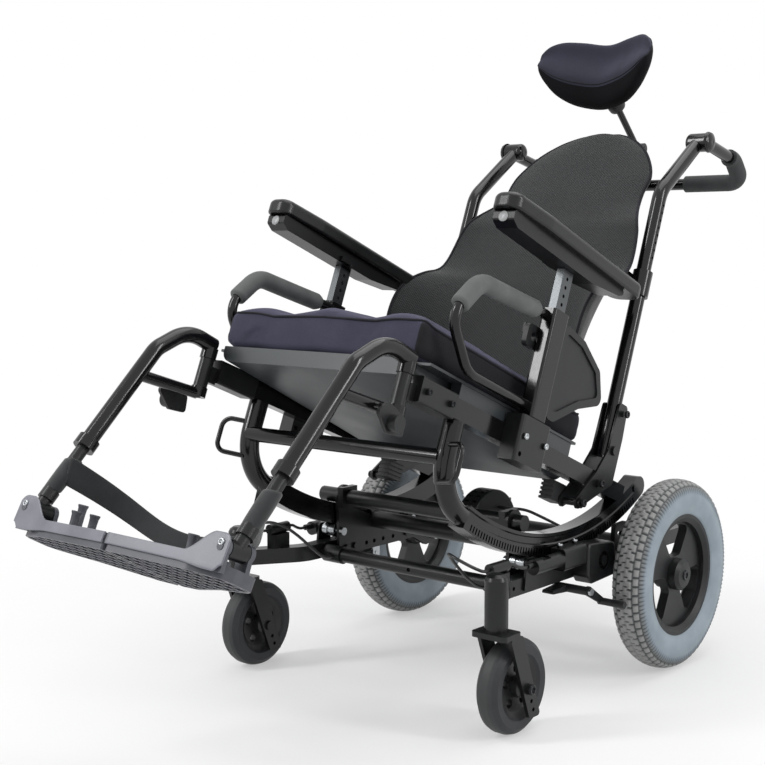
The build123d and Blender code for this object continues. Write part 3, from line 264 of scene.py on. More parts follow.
def fromAxle(tree, spot, centre):
    # distance from a wheel's axle, which lies along X
    away = vectorMath(tree, "SUBTRACT", spot, centre)
    flat = vectorMath(tree, "MULTIPLY", away.outputs[0], (0.0, 1.0, 1.0))
    return vectorMath(tree, "LENGTH", flat.outputs[0]).outputs["Value"]


def hardFinish(name, look):
    # colour drifts between two tones over patches, 2 mm specks of dust lie over it, roughness
    # follows the patches, and a fine grain is raised by bump
    material, tree, shader, place = startMaterial(
        name, Metallic=look.get("metallic", 0.0), IOR=look.get("ior", 1.5))
    spot = place.outputs["Object"]
    patches = noise(tree, spot, 1 / look["patch"], 4.0)
    drift = ranged(tree, patches, 0.3, 0.7, 0.0, 1.0)
    colour = mixColours(tree, drift, look["dark"], look["pale"])
    dusty = ranged(tree, noise(tree, spot, 500.0, 2.0), 0.62, 0.8, 0.0, look["dust"])
    colour = mixColours(tree, dusty, colour, look.get("dustTone", "#6d6c69"))
    tree.links.new(colour, shader.inputs["Base Color"])
    tree.links.new(ranged(tree, patches, 0.3, 0.7, *look["rough"]), shader.inputs["Roughness"])
    grain = noise(tree, spot, 1 / look["grain"], 3.0)
    raised(tree, shader, grain, look.get("relief", 0.5), look["grain"] * 0.25)
    return material


def brushedFinish(name, look):
    # metal with fine lines stretched along one direction
    material, tree, shader, place = startMaterial(name, Metallic=1.0, Anisotropic=0.3)
    turn = addNode(tree, "ShaderNodeMapping", {"Scale": look["stretch"]}, {"Vector": place.outputs["Object"]})
    lines = noise(tree, turn.outputs[0], 1 / look["line"], 3.0)
    tree.links.new(mixColours(tree, lines, look["dark"], look["pale"]), shader.inputs["Base Color"])
    tree.links.new(ranged(tree, lines, 0.3, 0.7, *look["rough"]), shader.inputs["Roughness"])
    raised(tree, shader, lines, 0.25, 0.0002)
    return material


# oven-cured gloss powder coat: deep black with long clean highlights and a faint orange peel
glossPowderCoat = hardFinish("glossPowderCoat", {
    "dark": "#060607", "pale": "#0c0c0e", "patch": 0.06, "rough": (0.12, 0.2), "grain": 0.003,
    "relief": 0.06, "ior": 1.46, "dust": 0.03})
# satin powder coat: softer highlights, sand grain drawn at 1.2 mm to show
satinPowderCoat = hardFinish("satinPowderCoat", {
    "dark": "#0d0e0f", "pale": "#161718", "patch": 0.05, "rough": (0.28, 0.38), "grain": 0.0012,
    "relief": 0.35, "ior": 1.42, "dust": 0.1})
# glass-filled nylon moulding: charcoal, dry, with a spark-eroded grain
mouldedNylon = hardFinish("mouldedNylon", {
    "dark": "#141516", "pale": "#1f2022", "patch": 0.04, "rough": (0.4, 0.52), "grain": 0.0012,
    "relief": 0.5, "ior": 1.42, "dust": 0.1})
# foot tray nylon: lavender grey, scuffed paler on its lattice
trayNylon = hardFinish("trayNylon", {
    "dark": "#43444b", "pale": "#5a5b63", "patch": 0.05, "rough": (0.34, 0.46), "grain": 0.0014,
    "relief": 0.4, "dust": 0.3, "dustTone": "#7c7b80"})
# front fascia of the foot trays: the same nylon drawn paler, satin; the paler tone is painted light on its
# front faces
fasciaNylon = hardFinish("fasciaNylon", {
    "dark": "#6d6e77", "pale": "#81828b", "patch": 0.05, "rough": (0.3, 0.4), "grain": 0.0014,
    "relief": 0.3, "dust": 0.15, "dustTone": "#a5a5aa"})
# vacuum-formed ABS of the seat pan: slate grey, nearly smooth
slateAbs = hardFinish("slateAbs", {
    "dark": "#272b2e", "pale": "#33383b", "patch": 0.09, "rough": (0.36, 0.46), "grain": 0.0015,
    "relief": 0.25, "dust": 0.08})
# ribbed rubber blocks and pedal pads
blockRubber = hardFinish("blockRubber", {
    "dark": "#1a1a1b", "pale": "#262729", "patch": 0.03, "rough": (0.45, 0.6), "grain": 0.001,
    "relief": 0.5, "dust": 0.2})
# closed-cell grip foam: soft grey-black with cells of about 1 mm
gripFoam = hardFinish("gripFoam", {
    "dark": "#2b2d2e", "pale": "#3c3e3f", "patch": 0.03, "rough": (0.68, 0.82), "grain": 0.0011,
    "relief": 0.9, "dust": 0.1})
# paler grey foam of the transfer loops
loopFoam = hardFinish("loopFoam", {
    "dark": "#515353", "pale": "#626464", "patch": 0.03, "rough": (0.66, 0.8), "grain": 0.0012,
    "relief": 0.8, "dust": 0.12})
# self-skinned polyurethane of the arm pads: leathery skin, soft sheen
padPolyurethane = hardFinish("padPolyurethane", {
    "dark": "#0e0f10", "pale": "#18191a", "patch": 0.05, "rough": (0.26, 0.36), "grain": 0.0016,
    "relief": 0.3, "ior": 1.42, "dust": 0.06})
# end plugs of the arm trays, drawn pale: a painted reflection of the white room on the tray tubes' ends
plugNylon = hardFinish("plugNylon", {
    "dark": "#9a9b9c", "pale": "#b0b1b2", "patch": 0.03, "rough": (0.25, 0.35), "grain": 0.001, "dust": 0.1})
# PVC cable casing
cablePvc = hardFinish("cablePvc", {
    "dark": "#151617", "pale": "#232425", "patch": 0.03, "rough": (0.3, 0.42), "grain": 0.001, "dust": 0.1})
# zinc-plated steel of pins, rings and screw heads: bright, faintly blue
zincSteel = brushedFinish("zincSteel", {
    "dark": "#8d9195", "pale": "#c9ccce", "line": 0.0012, "stretch": (1.0, 1.0, 6.0), "rough": (0.2, 0.34)})
# black oxide steel of the socket screws
blackOxide = hardFinish("blackOxide", {
    "dark": "#191a1c", "pale": "#2c2d30", "patch": 0.01, "rough": (0.22, 0.36), "grain": 0.0008,
    "metallic": 0.8, "dust": 0.1})


def casterWheelFinish(name, centre):
    # rubber outside the hub's radius, nylon inside it, by distance from the wheel's own axle
    material, tree, shader, place = startMaterial(name, IOR=1.5)
    spot = place.outputs["Object"]
    radius = fromAxle(tree, spot, centre)
    rubber = ranged(tree, radius, 0.0462, 0.0466, 0.0, 1.0)
    patches = noise(tree, spot, 40.0, 5.0)
    tread = mixColours(tree, patches, "#1a1b1e", "#292b2f")
    hub = mixColours(tree, patches, "#111214", "#1a1b1d")
    worn = mixColours(tree, ranged(tree, radius, 0.068, 0.072, 0.0, 0.4), tread, "#434443")
    tree.links.new(mixColours(tree, rubber, hub, worn), shader.inputs["Base Color"])
    tree.links.new(ranged(tree, rubber, 0.0, 1.0, 0.38, 0.56), shader.inputs["Roughness"])
    raised(tree, shader, noise(tree, spot, 700.0, 2.0), 0.5, 0.0003)
    return material


trayLow = float(np.dot(fromSeat([0, 0, -73.5]), seatUp))


def armPostFinish(name):
    # the post below the tray is bare aluminium, the tray above it is black; split square to the post
    material, tree, shader, place = startMaterial(name, IOR=1.42)
    spot = place.outputs["Object"]
    bare = ranged(tree, seatHeight(tree, spot), trayLow, trayLow + 0.0002, 1.0, 0.0)
    turn = addNode(tree, "ShaderNodeMapping", {"Scale": (6.0, 6.0, 0.6)}, {"Vector": spot})
    lines = noise(tree, turn.outputs[0], 600.0, 3.0)
    metal = mixColours(tree, lines, "#4c4f51", "#6d7072")
    black = mixColours(tree, noise(tree, spot, 24.0, 4.0), "#08080a", "#111214")
    tree.links.new(mixColours(tree, bare, black, metal), shader.inputs["Base Color"])
    tree.links.new(bare, shader.inputs["Metallic"])
    tree.links.new(ranged(tree, lines, 0.3, 0.7, 0.3, 0.4), shader.inputs["Roughness"])
    raised(tree, shader, lines, 0.25, 0.0002)
    return material


def stretchKnit(name, look):
    # two-way stretch knit: loops drawn a little over their real size, soft nap, shade changing over
    # broad patches; beyond sideAt from the middle and below sideTop, the panel is the black side cloth
    material, tree, shader, place = startMaterial(
        name, Roughness=0.85, Sheen_Weight=look["sheen"], Sheen_Roughness=0.45, IOR=look.get("ior", 1.4))
    shader.inputs["Sheen Tint"].default_value = linear(look["nap"])
    spot = place.outputs["Object"]
    patches = noise(tree, spot, 14.0, 5.0, Roughness=0.6)
    loops = addNode(tree, "ShaderNodeTexVoronoi", {"Scale": 1 / look["loop"]}, {"Vector": spot})
    fuzz = noise(tree, spot, 1600.0, 2.0)
    cloth = mixColours(tree, ranged(tree, patches, 0.3, 0.7, 0.0, 1.0), look["dark"], look["pale"])
    # painted shade in the gaps between the loops: each loop is drawn darker towards its edge
    lit = mixColours(tree, ranged(tree, loops.outputs[0], 0.0, 0.75, 0.0, 0.35), cloth, look["gap"])
    if look.get("sideAt"):
        apart = addNode(tree, "ShaderNodeSeparateXYZ", links={0: spot})
        out = addNode(tree, "ShaderNodeMath", links={0: apart.outputs[0]}, operation="ABSOLUTE")
        side = ranged(tree, out.outputs[0], look["sideAt"], look["sideAt"] + 0.0015, 0.0, 1.0)
        low = ranged(tree, seatHeight(tree, spot), look["sideTop"], look["sideTop"] + 0.0015, 1.0, 0.0)
        lit = mixColours(tree, combined(tree, "MULTIPLY", side, low), lit, look["side"])
    tree.links.new(lit, shader.inputs["Base Color"])
    height = addNode(tree, "ShaderNodeMath", {1: 0.35}, {0: fuzz, 2: loops.outputs[0]},
                     operation="MULTIPLY_ADD")
    raised(tree, shader, height.outputs[0], 0.5, 0.0004)
    return material


def spacerMesh(name, look):
    # knitted spacer fabric: open cells in staggered rows, their dark colour partly the inner layer seen
    # through them and partly painted shade, threads raised between them;
    # the map is in metres
    material, tree, shader, place = startMaterial(
        name, Roughness=0.8, Sheen_Weight=0.12, Sheen_Roughness=0.5, IOR=1.38)
    spot = place.outputs["UV"]
    perMetre = (2 * np.pi / look["pitch"], 2 * np.pi / look["rise"], 1.0)
    stretch = addNode(tree, "ShaderNodeMapping", {"Scale": perMetre}, {"Vector": spot})
    apart = addNode(tree, "ShaderNodeSeparateXYZ", links={0: stretch.outputs[0]})
    waveU = addNode(tree, "ShaderNodeMath", links={0: apart.outputs[0]}, operation="COSINE")
    waveV = addNode(tree, "ShaderNodeMath", links={0: apart.outputs[1]}, operation="COSINE")
    both = combined(tree, "ADD", waveU.outputs[0], waveV.outputs[0])
    cell = ranged(tree, both, 0.25, 1.1, 0.0, 1.0)
    opposite = ranged(tree, both, -1.1, -0.25, 1.0, 0.0)
    hole = combined(tree, "MAXIMUM", cell, opposite)
    patches = noise(tree, place.outputs["Object"], 9.0, 4.0)
    thread = mixColours(tree, ranged(tree, patches, 0.3, 0.7, 0.0, 1.0), look["dark"], look["pale"])
    # the cells' dark colour: partly the inner layer, partly painted shade inside them
    tree.links.new(mixColours(tree, hole, thread, look["hole"]), shader.inputs["Base Color"])
    raised(tree, shader, hole, 0.8, 0.0008).invert = True
    return material


def strapCloth(name):
    # loop-faced neoprene: matt charcoal with a short nap
    material, tree, shader, place = startMaterial(
        name, Roughness=0.92, Sheen_Weight=0.35, Sheen_Roughness=0.5)
    spot = place.outputs["Object"]
    patches = noise(tree, spot, 30.0, 5.0)
    tree.links.new(mixColours(tree, patches, "#1b1c1d", "#303234"), shader.inputs["Base Color"])
    raised(tree, shader, noise(tree, spot, 900.0, 3.0), 0.7, 0.0004)
    return material


def greyTyreRubber(name, centre):
    # non-marking grey rubber: bluish smooth sidewall and browner dusty tread, split by radius, with the
    # grooves drawn darker
    material, tree, shader, place = startMaterial(name, IOR=1.5)
    spot = place.outputs["Object"]
    patches = noise(tree, spot, 26.0, 6.0)
    drift = ranged(tree, patches, 0.3, 0.7, 0.0, 1.0)
    wall = mixColours(tree, drift, "#7f8b94", "#929da6")
    tread = mixColours(tree, drift, "#858684", "#9c9d9c")
    attribute = addNode(tree, "ShaderNodeAttribute", attribute_name="groove")
    onTread = ranged(tree, fromAxle(tree, spot, centre), 0.145, 0.151, 0.0, 1.0)
    both = mixColours(tree, onTread, wall, tread)
    tree.links.new(mixColours(tree, attribute.outputs["Fac"], both, "#2f3438"), shader.inputs["Base Color"])
    tree.links.new(ranged(tree, patches, 0.3, 0.7, 0.5, 0.64), shader.inputs["Roughness"])
    raised(tree, shader, noise(tree, spot, 600.0, 3.0), 0.4, 0.0003)
    return material


cushionKnit = stretchKnit("cushionKnit", {
    "dark": "#343345", "pale": "#403f52", "gap": "#1f1f2a", "nap": "#8f8faa", "loop": 0.0016, "sheen": 0.35,
    "sideAt": 0.188, "side": "#08080b", "sideTop": float(np.dot(fromSeat([0, 0, -250]), seatUp))})
headrestKnit = stretchKnit("headrestKnit", {
    "dark": "#22232f", "pale": "#2d2e3d", "gap": "#16161f", "nap": "#7b7c96", "loop": 0.0014, "sheen": 0.3})
sideKnit = stretchKnit("sideKnit", {
    "dark": "#08080b", "pale": "#0e0e12", "gap": "#050507", "nap": "#3c3c48", "loop": 0.0014, "sheen": 0.05,
    "ior": 1.25})
pipingCord = stretchKnit("pipingCord", {
    "dark": "#101016", "pale": "#191920", "gap": "#0a0a0d", "nap": "#55566a", "loop": 0.0012, "sheen": 0.2})
backSpacer = spacerMesh("backSpacer", {
    "pitch": 0.0056, "rise": 0.0044, "dark": "#2d2f30", "pale": "#383a3a", "hole": "#1a1b1c"})
neoprene = strapCloth("neoprene")
print("materials made")

glossNodes = ("rockers", "rocker_tubes", "seat_rails", "hanger_left", "hanger_right",
              "arm_frame_left", "arm_frame_right", "back_canes", "push_handle",
              "headrest_bar", "headrest_link", "headrest_bracket")
nylonNodes = ("drum_cover", "side_guard_left", "side_guard_right", "arm_latch_left", "arm_latch_right",
              "hanger_latch_left", "hanger_latch_right", "rear_wheel_left", "rear_wheel_right",
              "wheel_lock_left", "wheel_lock_right")
for name, piece in nodes.items():
    finish = satinPowderCoat
    if name in glossNodes:
        finish = glossPowderCoat
    elif name in nylonNodes:
        finish = mouldedNylon
    elif name.startswith("footplate"):
        finish = trayNylon
    elif name in ("front_rollers", "rear_rollers", "axle_pins", "tilt_lock_jaw_left", "tilt_lock_jaw_right"):
        finish = zincSteel
    elif name == "seat_pan":
        finish = slateAbs
    elif name.startswith("arm_pad"):
        finish = padPolyurethane
    elif name == "bumper_blocks":
        finish = blockRubber
    elif name == "handle_grips":
        finish = gripFoam
    elif name == "base_cables":
        finish = cablePvc
    elif name.startswith("arm_post"):
        finish = armPostFinish("postAndTray_" + name[9:])
    elif name.startswith("caster_wheel"):
        low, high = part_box(name)
        finish = casterWheelFinish("casterWheel_" + name[13:], tuple((low + high) / 2))
    for index in range(max(1, len(piece.data.materials))):
        if len(piece.data.materials):
            piece.data.materials[index] = finish
        else:
            piece.data.materials.append(finish)


def inflate(piece, look):
    # soft swelling by cloth pressure, each point held within a cap of its start, then one smoothing division
    bpy.context.view_layer.objects.active = piece
    remesh = piece.modifiers.new("even", "REMESH")
    remesh.mode = "VOXEL"
    remesh.voxel_size = look["voxel"]
    bpy.ops.object.select_all(action="DESELECT")
    piece.select_set(True)
    bpy.ops.object.modifier_apply(modifier="even")
    start = np.zeros(len(piece.data.vertices) * 3)
    piece.data.vertices.foreach_get("co", start)
    start = start.reshape(-1, 3)
    cloth = piece.modifiers.new("cloth", "CLOTH")
    cloth.settings.use_pressure = True
    cloth.settings.uniform_pressure_force = look["pressure"]
    cloth.settings.effector_weights.gravity = 0.0
    cloth.settings.quality = 5
    cloth.point_cache.frame_start = 1
    cloth.point_cache.frame_end = 20
    for number in range(1, 21):
        bpy.context.scene.frame_set(number)
    shaped = piece.evaluated_get(bpy.context.evaluated_depsgraph_get())
    moved = np.zeros(len(shaped.data.vertices) * 3)
    shaped.data.vertices.foreach_get("co", moved)
    shift = moved.reshape(-1, 3) - start
    length = np.linalg.norm(shift, axis=1, keepdims=True)
    shift *= np.minimum(1.0, look["cap"] / np.maximum(length, 1e-9))
    piece.modifiers.remove(cloth)
    piece.data.vertices.foreach_set("co", (start + shift).ravel())
    bpy.context.scene.frame_set(1)
    smooth = piece.modifiers.new("smooth", "SUBSURF")
    smooth.levels = 1
    smooth.render_levels = 1
    bpy.ops.object.modifier_apply(modifier="smooth")
    piece.data.polygons.foreach_set("use_smooth", [True] * len(piece.data.polygons))
    piece.data.update()


def ontoSurface(piece, points, lift):
    # each point is drawn to the piece's nearest surface and lifted off along its normal
    tree = BVHTree.FromObject(piece, bpy.context.evaluated_depsgraph_get())
    found = [tree.find_nearest(Vector(p)) for p in points]
    return np.array([np.array(place) + lift * np.array(normal) for place, normal, face, far in found])


# ---- seat cushion
cushion = {"front": -282.0, "rear": 184.0, "half": 203.0, "base": -304.0, "top": -240.0, "corner": 15.0,
           "channel": 9.0, "channelAt": 78.0, "channelWide": 42.0, "crown": 7.0, "fall": 5.0,
           "endRows": 8, "rows": 60, "around": 160}


def cushionTop(x, y):
    # crown, two thigh channels, a raised middle and drawn-down rear
    channel = np.exp(-((np.abs(x) - cushion["channelAt"]) / cushion["channelWide"]) ** 2)
    crown = cushion["crown"] * (1 - (x / cushion["half"]) ** 2)
    fall = cushion["fall"] * step(y, -120, 184)
    return cushion["top"] + crown - cushion["channel"] * channel - fall


def cushionRings():
    # rounded rectangles across the seat carried from front to rear, shrinking into each end
    t = np.linspace(0, 2 * np.pi, cushion["around"], endpoint=False)
    c, s = np.cos(t), np.sin(t)
    across = np.sign(c) * np.abs(c) ** 0.28
    upward = np.sign(s) * np.abs(s) ** 0.28
    endRows = cushion["endRows"]
    ends = np.concatenate([np.linspace(0, 1, endRows) ** 1.5, np.ones(cushion["rows"]),
                           np.linspace(1, 0, endRows) ** (1 / 1.5)])
    turn = cushion["corner"] * (1 - np.sqrt(np.clip(1 - ends ** 2, 0, 1)))
    inset = cushion["corner"] * (1 - np.sin(np.pi / 2 * ends))
    front, rear = cushion["front"], cushion["rear"]
    between = np.linspace(front + cushion["corner"], rear - cushion["corner"], cushion["rows"])
    y = np.concatenate([front + turn[:endRows], between, rear - turn[-endRows:]])
    half = cushion["half"] - inset
    x = half[:, None] * across
    top = cushionTop(x, y[:, None]) - inset[:, None]
    low = cushion["base"] + 0.4 * inset[:, None]
    z = low + (top - low) * (upward + 1) / 2
    return fromSeat(np.stack([x, np.broadcast_to(y[:, None], x.shape), z], -1))


seatCushion = ringedPiece("seatCushion", cushionRings(), "seat", cushionKnit, turnOver=True)
inflate(seatCushion, {"voxel": 0.006, "pressure": 4.0, "cap": 0.007})
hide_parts("seat_cushion")


def cushionPiping():
    # cord sewn round the top panel, a finger below the top edge
    half, front, rear = cushion["half"] + 2, cushion["front"] - 2, cushion["rear"] + 2
    a = np.linspace(0, 2 * np.pi, 360, endpoint=False)
    c, s = np.cos(a), np.sin(a)
    x = half * np.sign(c) * np.abs(c) ** 0.2
    y = (front + rear) / 2 + (rear - front) / 2 * np.sign(s) * np.abs(s) ** 0.2
    z = cushionTop(x, y) - 9.0
    path = ontoSurface(seatCushion, fromSeat(np.stack([x, y, z], -1)), 0.0006)
    path = (np.roll(path, 1, 0) + 2 * path + np.roll(path, -1, 0)) / 4
    path = np.vstack([path, path[:2]])
    rings = alongPath(path, circle(0.0019, 8), seatUp)[1:-1]
    rings = np.vstack([rings, rings[:1]])
    ringedPiece("cushionPiping", rings, "seat", pipingCord, capped=False)


cushionPiping()
print("seat cushion made")

# ---- back upholstery: height, half width, wrap, thickness
backShape = {"rows": ((-212, 188, 92, 34), (-155, 200, 126, 36), (-97, 204, 142, 38), (-49, 205, 134, 40),
                      (-12, 203, 102, 42), (14, 201, 64, 42), (44, 198, 54, 42), (92, 191, 58, 42),
                      (120, 182, 60, 42), (145, 169, 50, 40), (170, 156, 36, 40), (200, 149, 28, 40),
                      (242, 147, 22, 38), (289, 120, 18, 34), (322, 84, 13, 26), (340, 50, 8, 18),
                      (347, 22, 5, 12)),
             "count": 150, "across": 90, "bulge": 3.0}


def backLine(z):
    return 205 + 0.255 * (z + 250)


def backRings(part):
    # front: a flat middle whose sides wrap forward as |x| to a power, sharper where the wings are deep;
    # rear: the same sheet set back; cover is the cloth half, shell the moulded half
    rows = smoothRows(backShape["rows"], backShape["count"])
    z, half, wrap, thick = (rows[:, i:i + 1] for i in range(4))
    rear = backLine(z)
    u = np.linspace(-1, 1, backShape["across"])[None]
    curve = np.abs(u) ** (2.7 + 1.6 * step(wrap, 50, 140))
    frontY = rear - thick + (thick - wrap) * curve - 2.5
    rearY = rear + (8.0 - wrap) * curve
    middle = frontY + (rearY - frontY) * 0.55
    if part == "cover":
        x = half * u
        near, far = frontY - backShape["bulge"] * np.cos(np.pi / 2 * u) ** 0.5, middle
    else:
        x = 0.985 * half * u
        near, far = middle + 0.4, rearY
    front = np.stack([x, near + 0 * x, z + 0 * x], -1)
    rearSide = np.stack([x, far + 0 * x, z + 0 * x], -1)[:, ::-1]
    return np.concatenate([front, rearSide], 1)


def backPiece(name, part, material):
    # the map runs in metres: across the sheet, and up it along its slope
    rings = backRings(part)
    across = np.linalg.norm(np.diff(rings, axis=1, prepend=rings[:, :1]), axis=-1).cumsum(1)
    across -= across[:, backShape["across"] // 2][:, None]
    uv = np.stack([across, rings[..., 2] * 1.03], -1).reshape(-1, 2) * 0.001
    piece = ringedPiece(name, fromSeat(rings), "backrest", material, uv=uv)
    smooth = piece.modifiers.new("rounded", "SUBSURF")
    smooth.levels = 1
    smooth.render_levels = 1
    return piece


backCover = backPiece("backCover", "cover", backSpacer)
backShell = backPiece("backShell", "shell", mouldedNylon)
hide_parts("back_cushion")
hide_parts("back_cushion")


def backPiping():
    # cord round the rim of the cover, on the line where cloth meets shell
    rings = backRings("cover")
    path = np.vstack([rings[:, 0], rings[::-1, backShape["across"] - 1]])
    path = fromSeat(smoothRows(path[::4], 420))
    ringedPiece("backPiping", alongPath(path, circle(0.0024, 8), seatRear), "backrest", pipingCord)


backPiping()
print("back made")

# ---- headrest pad: x, middle y, middle z, half depth, half height
headShape = {"rows": ((-120, 256, 463, 6, 9), (-117, 259, 462, 13, 21), (-105, 267, 462, 20, 38),
                      (-84, 281, 459, 25, 54), (-50, 299, 455, 30, 62.5), (0, 311, 451, 31, 63),
                      (50, 299, 455, 30, 62.5), (84, 281, 459, 25, 54), (105, 267, 462, 20, 38),
                      (117, 259, 462, 13, 21), (120, 256, 463, 6, 9)),
             "count": 110, "around": 72, "lean": 0.07, "lip": 5.0, "hollow": 0.5,
             "topSeam": 1.4, "lowSeam": 3.58}


def headRings():
    # ovals carried from side to side; the front is hollowed above the lower seam, where a lip stands forward
    rows = smoothRows(headShape["rows"], headShape["count"])
    x, y, z, deep, high = (rows[:, i:i + 1] for i in range(5))
    a = np.linspace(0, 2 * np.pi, headShape["around"], endpoint=False)[None]
    c, s = np.cos(a), np.sin(a)
    up = high * np.sign(s) * np.abs(s) ** 0.9
    depth = deep * np.sign(c) * np.abs(c) ** 0.8
    hollow = headShape["hollow"] * deep * np.exp(-((a - 2.75) / 0.55) ** 2)
    lip = headShape["lip"] * (high / 63.0) ** 2 * np.exp(-((a - headShape["lowSeam"] + 0.2) / 0.3) ** 2)
    return np.stack([x + 0 * a, y + depth + hollow - lip - headShape["lean"] * up, z + up], -1)


headPad = ringedPiece("headPad", fromSeat(headRings()), "headrest_pad", headrestKnit)
headPad.data.materials.append(sideKnit)
ringPart = np.arange(headShape["around"]) / headShape["around"] * 2 * np.pi
rearPart = (ringPart < headShape["topSeam"]) | (ringPart > headShape["lowSeam"])
tones = np.ones(len(headPad.data.polygons), int)
tones[:headShape["around"] * (headShape["count"] - 1)] = np.tile(rearPart, headShape["count"] - 1)
headPad.data.polygons.foreach_set("material_index", tones)
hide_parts("headrest_pad")


def headPiping():
    # seam where the front panel meets the rear one, over the top and under the lip
    rings = headRings()
    turn = headShape["around"] / (2 * np.pi)
    top = rings[:, round(headShape["topSeam"] * turn)]
    low = rings[:, round(headShape["lowSeam"] * turn)]
    path = np.vstack([top, low[::-1], top[:2]])
    rings = alongPath(fromSeat(path), circle(0.0012, 8), seatRear)
    ringedPiece("headPiping", rings, "headrest_pad", pipingCord)


headPiping()

# moulded cup on the pad's rear, round the ball of its link, in metres
cupProfile = [(-0.03, 0.004), (-0.03, 0.0165), (-0.004, 0.0168), (0.003, 0.0165), (0.0045, 0.0145),
              (0.0045, 0.0118), (-0.002, 0.0116)]
cupAxis = fromSeat([0, 372, 418]) - fromSeat([0, 336, 424])
cup = turnedAbout(cupProfile, [fromSeat([0, 369, 419])], [cupAxis], 40)[0]
headCup = ringedPiece("headCup", cup, "headrest_pad", mouldedNylon, capped=False)
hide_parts("headrest_pad")
print("headrest made")

# ---- calf strap: cuffs round both legs and the sling between them, behind the calves
strap = {"kneeY": -402.0, "kneeZ": -352.0, "ankleY": -526.0, "ankleZ": -633.0, "legX": 200.0,
         "top": -551.0, "low": -605.0, "cuffR": 13.6, "cuffEnd": 10.2, "seam": 0.9,
         "reach": 184.0, "deep": 88.0, "endZ": -573.0, "sag": 60.0, "lap": 3.4}


def legLine(z):
    slope = (strap["ankleY"] - strap["kneeY"]) / (strap["ankleZ"] - strap["kneeZ"])
    return strap["kneeY"] + slope * (z - strap["kneeZ"])


def cuff(side):
    # a sleeve round the leg with pinched ends and a soft lap on its rear
    z = np.linspace(strap["top"], strap["low"], 24)[:, None]
    a = np.linspace(0, 2 * np.pi, 40, endpoint=False)[None]
    v = (z - strap["low"]) / (strap["top"] - strap["low"])
    fullness = np.clip(np.sin(np.pi * v), 0, 1) ** 0.13
    radius = strap["cuffEnd"] + (strap["cuffR"] - strap["cuffEnd"]) * fullness
    radius = radius + strap["seam"] * np.exp(-((a - np.pi / 2) / 0.5) ** 2) * np.sin(np.pi * v)
    x = side * strap["legX"] + radius * np.cos(a)
    rings = np.stack([x, legLine(z) + radius * np.sin(a), z + 0 * a], -1)
    name = sideWord(side)
    piece = ringedPiece("calfCuff_" + name, fromSeat(rings), "leg_" + name, neoprene,
                        turnOver=True, capped=False)
    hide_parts("calf_strap_" + name)


def sling(side):
    # half of a padded band that leaves the leg steeply, y = back - deep |u|^5, and sags by the square of u;
    # the halves lap at the middle, the left one in front, where hook-and-loop tape joins them
    u = side * np.linspace(1.02, -0.05, 80)[:, None]
    lap = strap["lap"] * (1 - step(np.abs(u), 0.06, 0.3)) * (side > 0)
    x = strap["reach"] * u
    y = legLine(-575) + 5 + strap["deep"] * (1 - np.abs(u) ** 5) - lap
    middle = strap["endZ"] - strap["sag"] * (1 - u ** 2)
    a = np.linspace(0, 2 * np.pi, 28, endpoint=False)[None]
    c, s = np.cos(a), np.sin(a)
    tall = (15.0 + 5.0 * u ** 2) * np.sign(s) * np.abs(s) ** 0.5
    thick = 1.5 * np.sign(c) * np.abs(c) ** 0.8
    rings = np.stack([x + 0 * a, y + thick - 0.05 * tall, middle + tall], -1)
    name = sideWord(side)
    piece = ringedPiece("calfSling_" + name, fromSeat(rings), "leg_" + name, neoprene, turnOver=side < 0)
    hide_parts("calf_strap_" + name)


for side in (-1, 1):
    cuff(side)
    sling(side)
print("calf strap made")

# ---- rear tyres: profile (across, radius) from bead to bead, tread raised by repeated blocks
tyre = {"axle": (286.0, 0.0, 161.8), "repeats": 66, "samples": 14, "depth": 3.2,
        "profile": ((-21, 103), (-25, 107), (-29.2, 118), (-30.4, 128), (-28.5, 140), (-23.5, 150),
                    (-13, 156.6), (0, 158.6), (13, 156.6), (23.5, 150), (28.5, 140), (30.4, 128),
                    (29.2, 118), (25, 107), (21, 103))}


def band(x, middle, half):
    # 1 inside half a width of the middle, falling to 0 over 1.2 mm
    return 1 - step(np.abs(np.abs(x) - middle), half - 0.6, half + 0.6)


def treadHeight(u, x, r):
    # a centre rib cut by zigzag, staggered inner and shoulder blocks, notched side lugs;
    # u grows by one from each block to the next
    stagger = 0.5 * (x > 0)
    slant = 0.012 * np.abs(x)
    rib = band(x, 3.4, 2.6) * step(np.abs(((u + stagger + slant) % 1) - 0.5), 0.03, 0.09)
    inner = band(x, 10.2, 3.2) * step(np.abs(((u + 0.25 + stagger + slant) % 1) - 0.5), 0.07, 0.14)
    shoulder = band(x, 18.4, 3.8) * step(np.abs(((u + stagger) % 1) - 0.5), 0.09, 0.17)
    lug = 0.6 * band(x, 26.0, 2.8) * step(np.abs(((2 * u) % 1) - 0.5), 0.12, 0.24) * (r > 136)
    return np.maximum(np.maximum(rib, inner), np.maximum(shoulder, lug))


